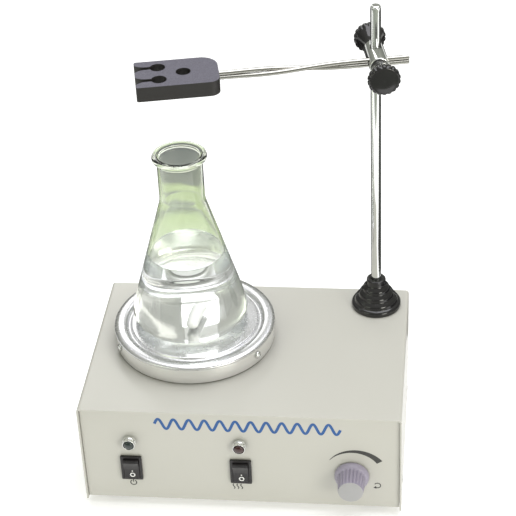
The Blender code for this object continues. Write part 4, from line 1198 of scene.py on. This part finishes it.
def make_stage():
    bpy.ops.mesh.primitive_plane_add(size=12.0, location=(0.0, 0.0, 0.0))
    floor = bpy.context.object
    floor.name = "studio_floor"
    look = Look("studio_floor", (0.92, 0.92, 0.92), 0.6, Emission_Strength=0.3)
    look.shader.inputs["Emission Color"].default_value = (1.0, 1.0, 1.0, 1.0)
    look.tint(look.ranged(look.noise(3.0), 0.0, 0.5), (0.90, 0.90, 0.90))
    floor.data.materials.append(look.material)


# stops of colour ramps: position and colour
SKY = [(0.0, (0.32, 0.33, 0.30)), (0.35, (0.48, 0.495, 0.435)), (0.85, (0.95, 0.96, 0.89))]
PAPER = [(0.0, (0.85, 0.86, 0.86)), (0.28, (0.80, 0.86, 0.72)), (0.50, (0.62, 0.71, 0.50)),
         (0.57, (0.32, 0.34, 0.34)), (0.62, (0.55, 0.63, 0.42)), (0.72, (0.48, 0.56, 0.36)),
         (0.79, (0.20, 0.21, 0.22)), (1.0, (0.13, 0.14, 0.15))]
SKY_STRENGTH = 0.65


def fill_ramp(ramp, stops):
    elements = ramp.color_ramp.elements
    while len(elements) < len(stops):
        elements.new(1.0)
    for element, (position, colour) in zip(elements, stops):
        element.position = position
        element.color = (*colour, 1.0)


def make_world():
    """Pale studio surroundings: bright above, darker towards the horizon."""
    world = bpy.data.worlds.new("studio")
    bpy.context.scene.world = world
    world.use_nodes = True
    tree = world.node_tree
    backdrop = tree.nodes["Background"]
    kinds = ("ShaderNodeTexCoord", "ShaderNodeSeparateXYZ", "ShaderNodeValToRGB")
    direction, parts, ramp = (tree.nodes.new(kind) for kind in kinds)
    fill_ramp(ramp, SKY)
    tree.links.new(direction.outputs["Generated"], parts.inputs["Vector"])
    tree.links.new(parts.outputs["Z"], ramp.inputs["Fac"])
    tree.links.new(ramp.outputs["Color"], backdrop.inputs["Color"])
    backdrop.inputs["Strength"].default_value = SKY_STRENGTH


# name: place, what it aims at, width and height, watts, colour
LIGHTS = {
    "overhead": ((0.25, 0.15, 1.6), (0.0, 0.0, 0.1), (1.6, 1.4), 20.2, (0.97, 0.97, 1.03)),
    "key": ((1.05, -1.15, 0.55), (0.0, 0.0, 0.1), (0.6, 0.6), 8.0, (1.0, 0.98, 0.90)),
    "fill_left": ((-1.3, -1.5, 0.9), (0.0, 0.0, 0.1), (0.9, 0.9), 4.0, (0.94, 1.0, 0.80)),
    "back_soft": ((-0.42, 1.35, 1.05), (-0.05, 0.0, 0.1), (0.5, 0.4), 1.4, (1.0, 1.0, 1.0)),
}


def make_lights():
    for name, (place, target, (width, height), watts, colour) in LIGHTS.items():
        data = bpy.data.lights.new(name, "AREA")
        data.shape = "RECTANGLE"
        data.size, data.size_y = width, height
        data.energy = watts
        data.color = colour
        light = linked(name, data)
        light.location = place
        aim = Vector(target) - Vector(place)
        light.rotation_euler = aim.to_track_quat("-Z", "Y").to_euler()
        light.visible_camera = False


def card(name, low, high, level, material, behind_glass=False):
    """A card flat on the floor that only mirrors see, or only what looks through glass."""
    made = loose(name, box_mesh((*low, level), (*high, level + 1 * MM)))
    made.data.materials.append(material)
    made.visible_camera = False
    made.visible_diffuse = False
    made.visible_shadow = False
    made.visible_glossy = not behind_glass
    made.visible_transmission = behind_glass


def cloth(name, colour):
    look = Look(name, colour, 0.9)
    return look.bump(look.noise(400.0), 0.3, 0.001).material


def backing_paper():
    """Green-grey paper in bands across Y, which only shows through clear glass."""
    look = Look("backing_paper", (0.6, 0.7, 0.5), 0.9)
    wobble = look.add("ShaderNodeMath", {0: look.noise(14.0, 2.0), 1: 0.05,
                                         2: look.split(look.coordinates)["Y"]},
                      operation="MULTIPLY_ADD")
    across = look.ranged(wobble.outputs["Value"], 0.0, 1.0, 0.18, 0.48)
    ramp = look.add("ShaderNodeValToRGB", {"Fac": across})
    fill_ramp(ramp, PAPER)
    look.feed(look.shader.inputs["Base Color"], ramp.outputs["Color"])
    return look.material


def make_cards():
    """Dark cards that put dark lines in chrome and glass, and the paper behind the flask."""
    black = cloth("flag_cloth", (0.03, 0.03, 0.028))
    grey = cloth("flag_grey", (0.30, 0.32, 0.28))
    card("flag_behind", (-1.0, 0.14), (1.0, 1.3), 1 * MM, black)
    card("flag_beside", (0.24, -0.06), (0.9, 0.14), 1 * MM, black)
    card("flag_before", (-0.9, -1.4), (0.9, -0.34), 1 * MM, grey)
    card("paper_behind", (-0.5, 0.12), (0.16, 0.9), 4 * MM, backing_paper(), True)


CAMERA_PLACE = (0.14184, -1.00853, 0.87576)
AZIMUTH, ELEVATION, ROLL = radians(7.424), radians(34.633), radians(-2.798)
LENS, SENSOR = 121.97, 36.0       # millimetres


def make_camera():
    """The lens and place that show the housing, rod and flask as a long studio lens does."""
    forward = Vector((-sin(AZIMUTH) * cos(ELEVATION), cos(AZIMUTH) * cos(ELEVATION),
                      -sin(ELEVATION)))
    level = Vector((cos(AZIMUTH), sin(AZIMUTH), 0.0))
    upright = level.cross(forward)
    right = level * cos(ROLL) + upright * sin(ROLL)
    up = upright * cos(ROLL) - level * sin(ROLL)
    data = bpy.data.cameras.new("studio_camera")
    data.lens = LENS
    data.sensor_width = SENSOR
    data.clip_end = 50.0
    camera = linked("studio_camera", data)
    turn = Matrix((right, up, -forward)).transposed().to_4x4()
    camera.matrix_world = at(*CAMERA_PLACE) @ turn
    bpy.context.scene.camera = camera


BOUNCES, MIRROR_BOUNCES = 48, 28


def set_light_paths():
    """Enough bounces to see through the flask and its liquid, and no sparks off metal."""
    cycles = bpy.context.scene.cycles
    cycles.max_bounces = BOUNCES
    cycles.transmission_bounces = BOUNCES
    cycles.glossy_bounces = MIRROR_BOUNCES
    cycles.caustics_reflective = False


def set_colours():
    view = bpy.context.scene.view_settings
    view.view_transform = "Standard"
    view.look = "None"
    view.exposure = 0.0


make_cover()
make_tray()
make_feet()
make_screws()
make_plate()
for side_name, lens in zip(SIDES, ("lens_green", "lens_red")):
    make_switch(side_name)
    make_lamp(side_name, lens)
make_knob()
make_prints()
make_inlet()
make_fuse()
make_rod()
make_boss()
for clamp in ("front", "rear"):
    make_clamp(clamp)
make_arm()
make_flask()
dress_internals()
make_stage()
make_cards()
make_world()
make_lights()
make_camera()
set_light_paths()
set_colours()

bpy.context.view_layer.update()
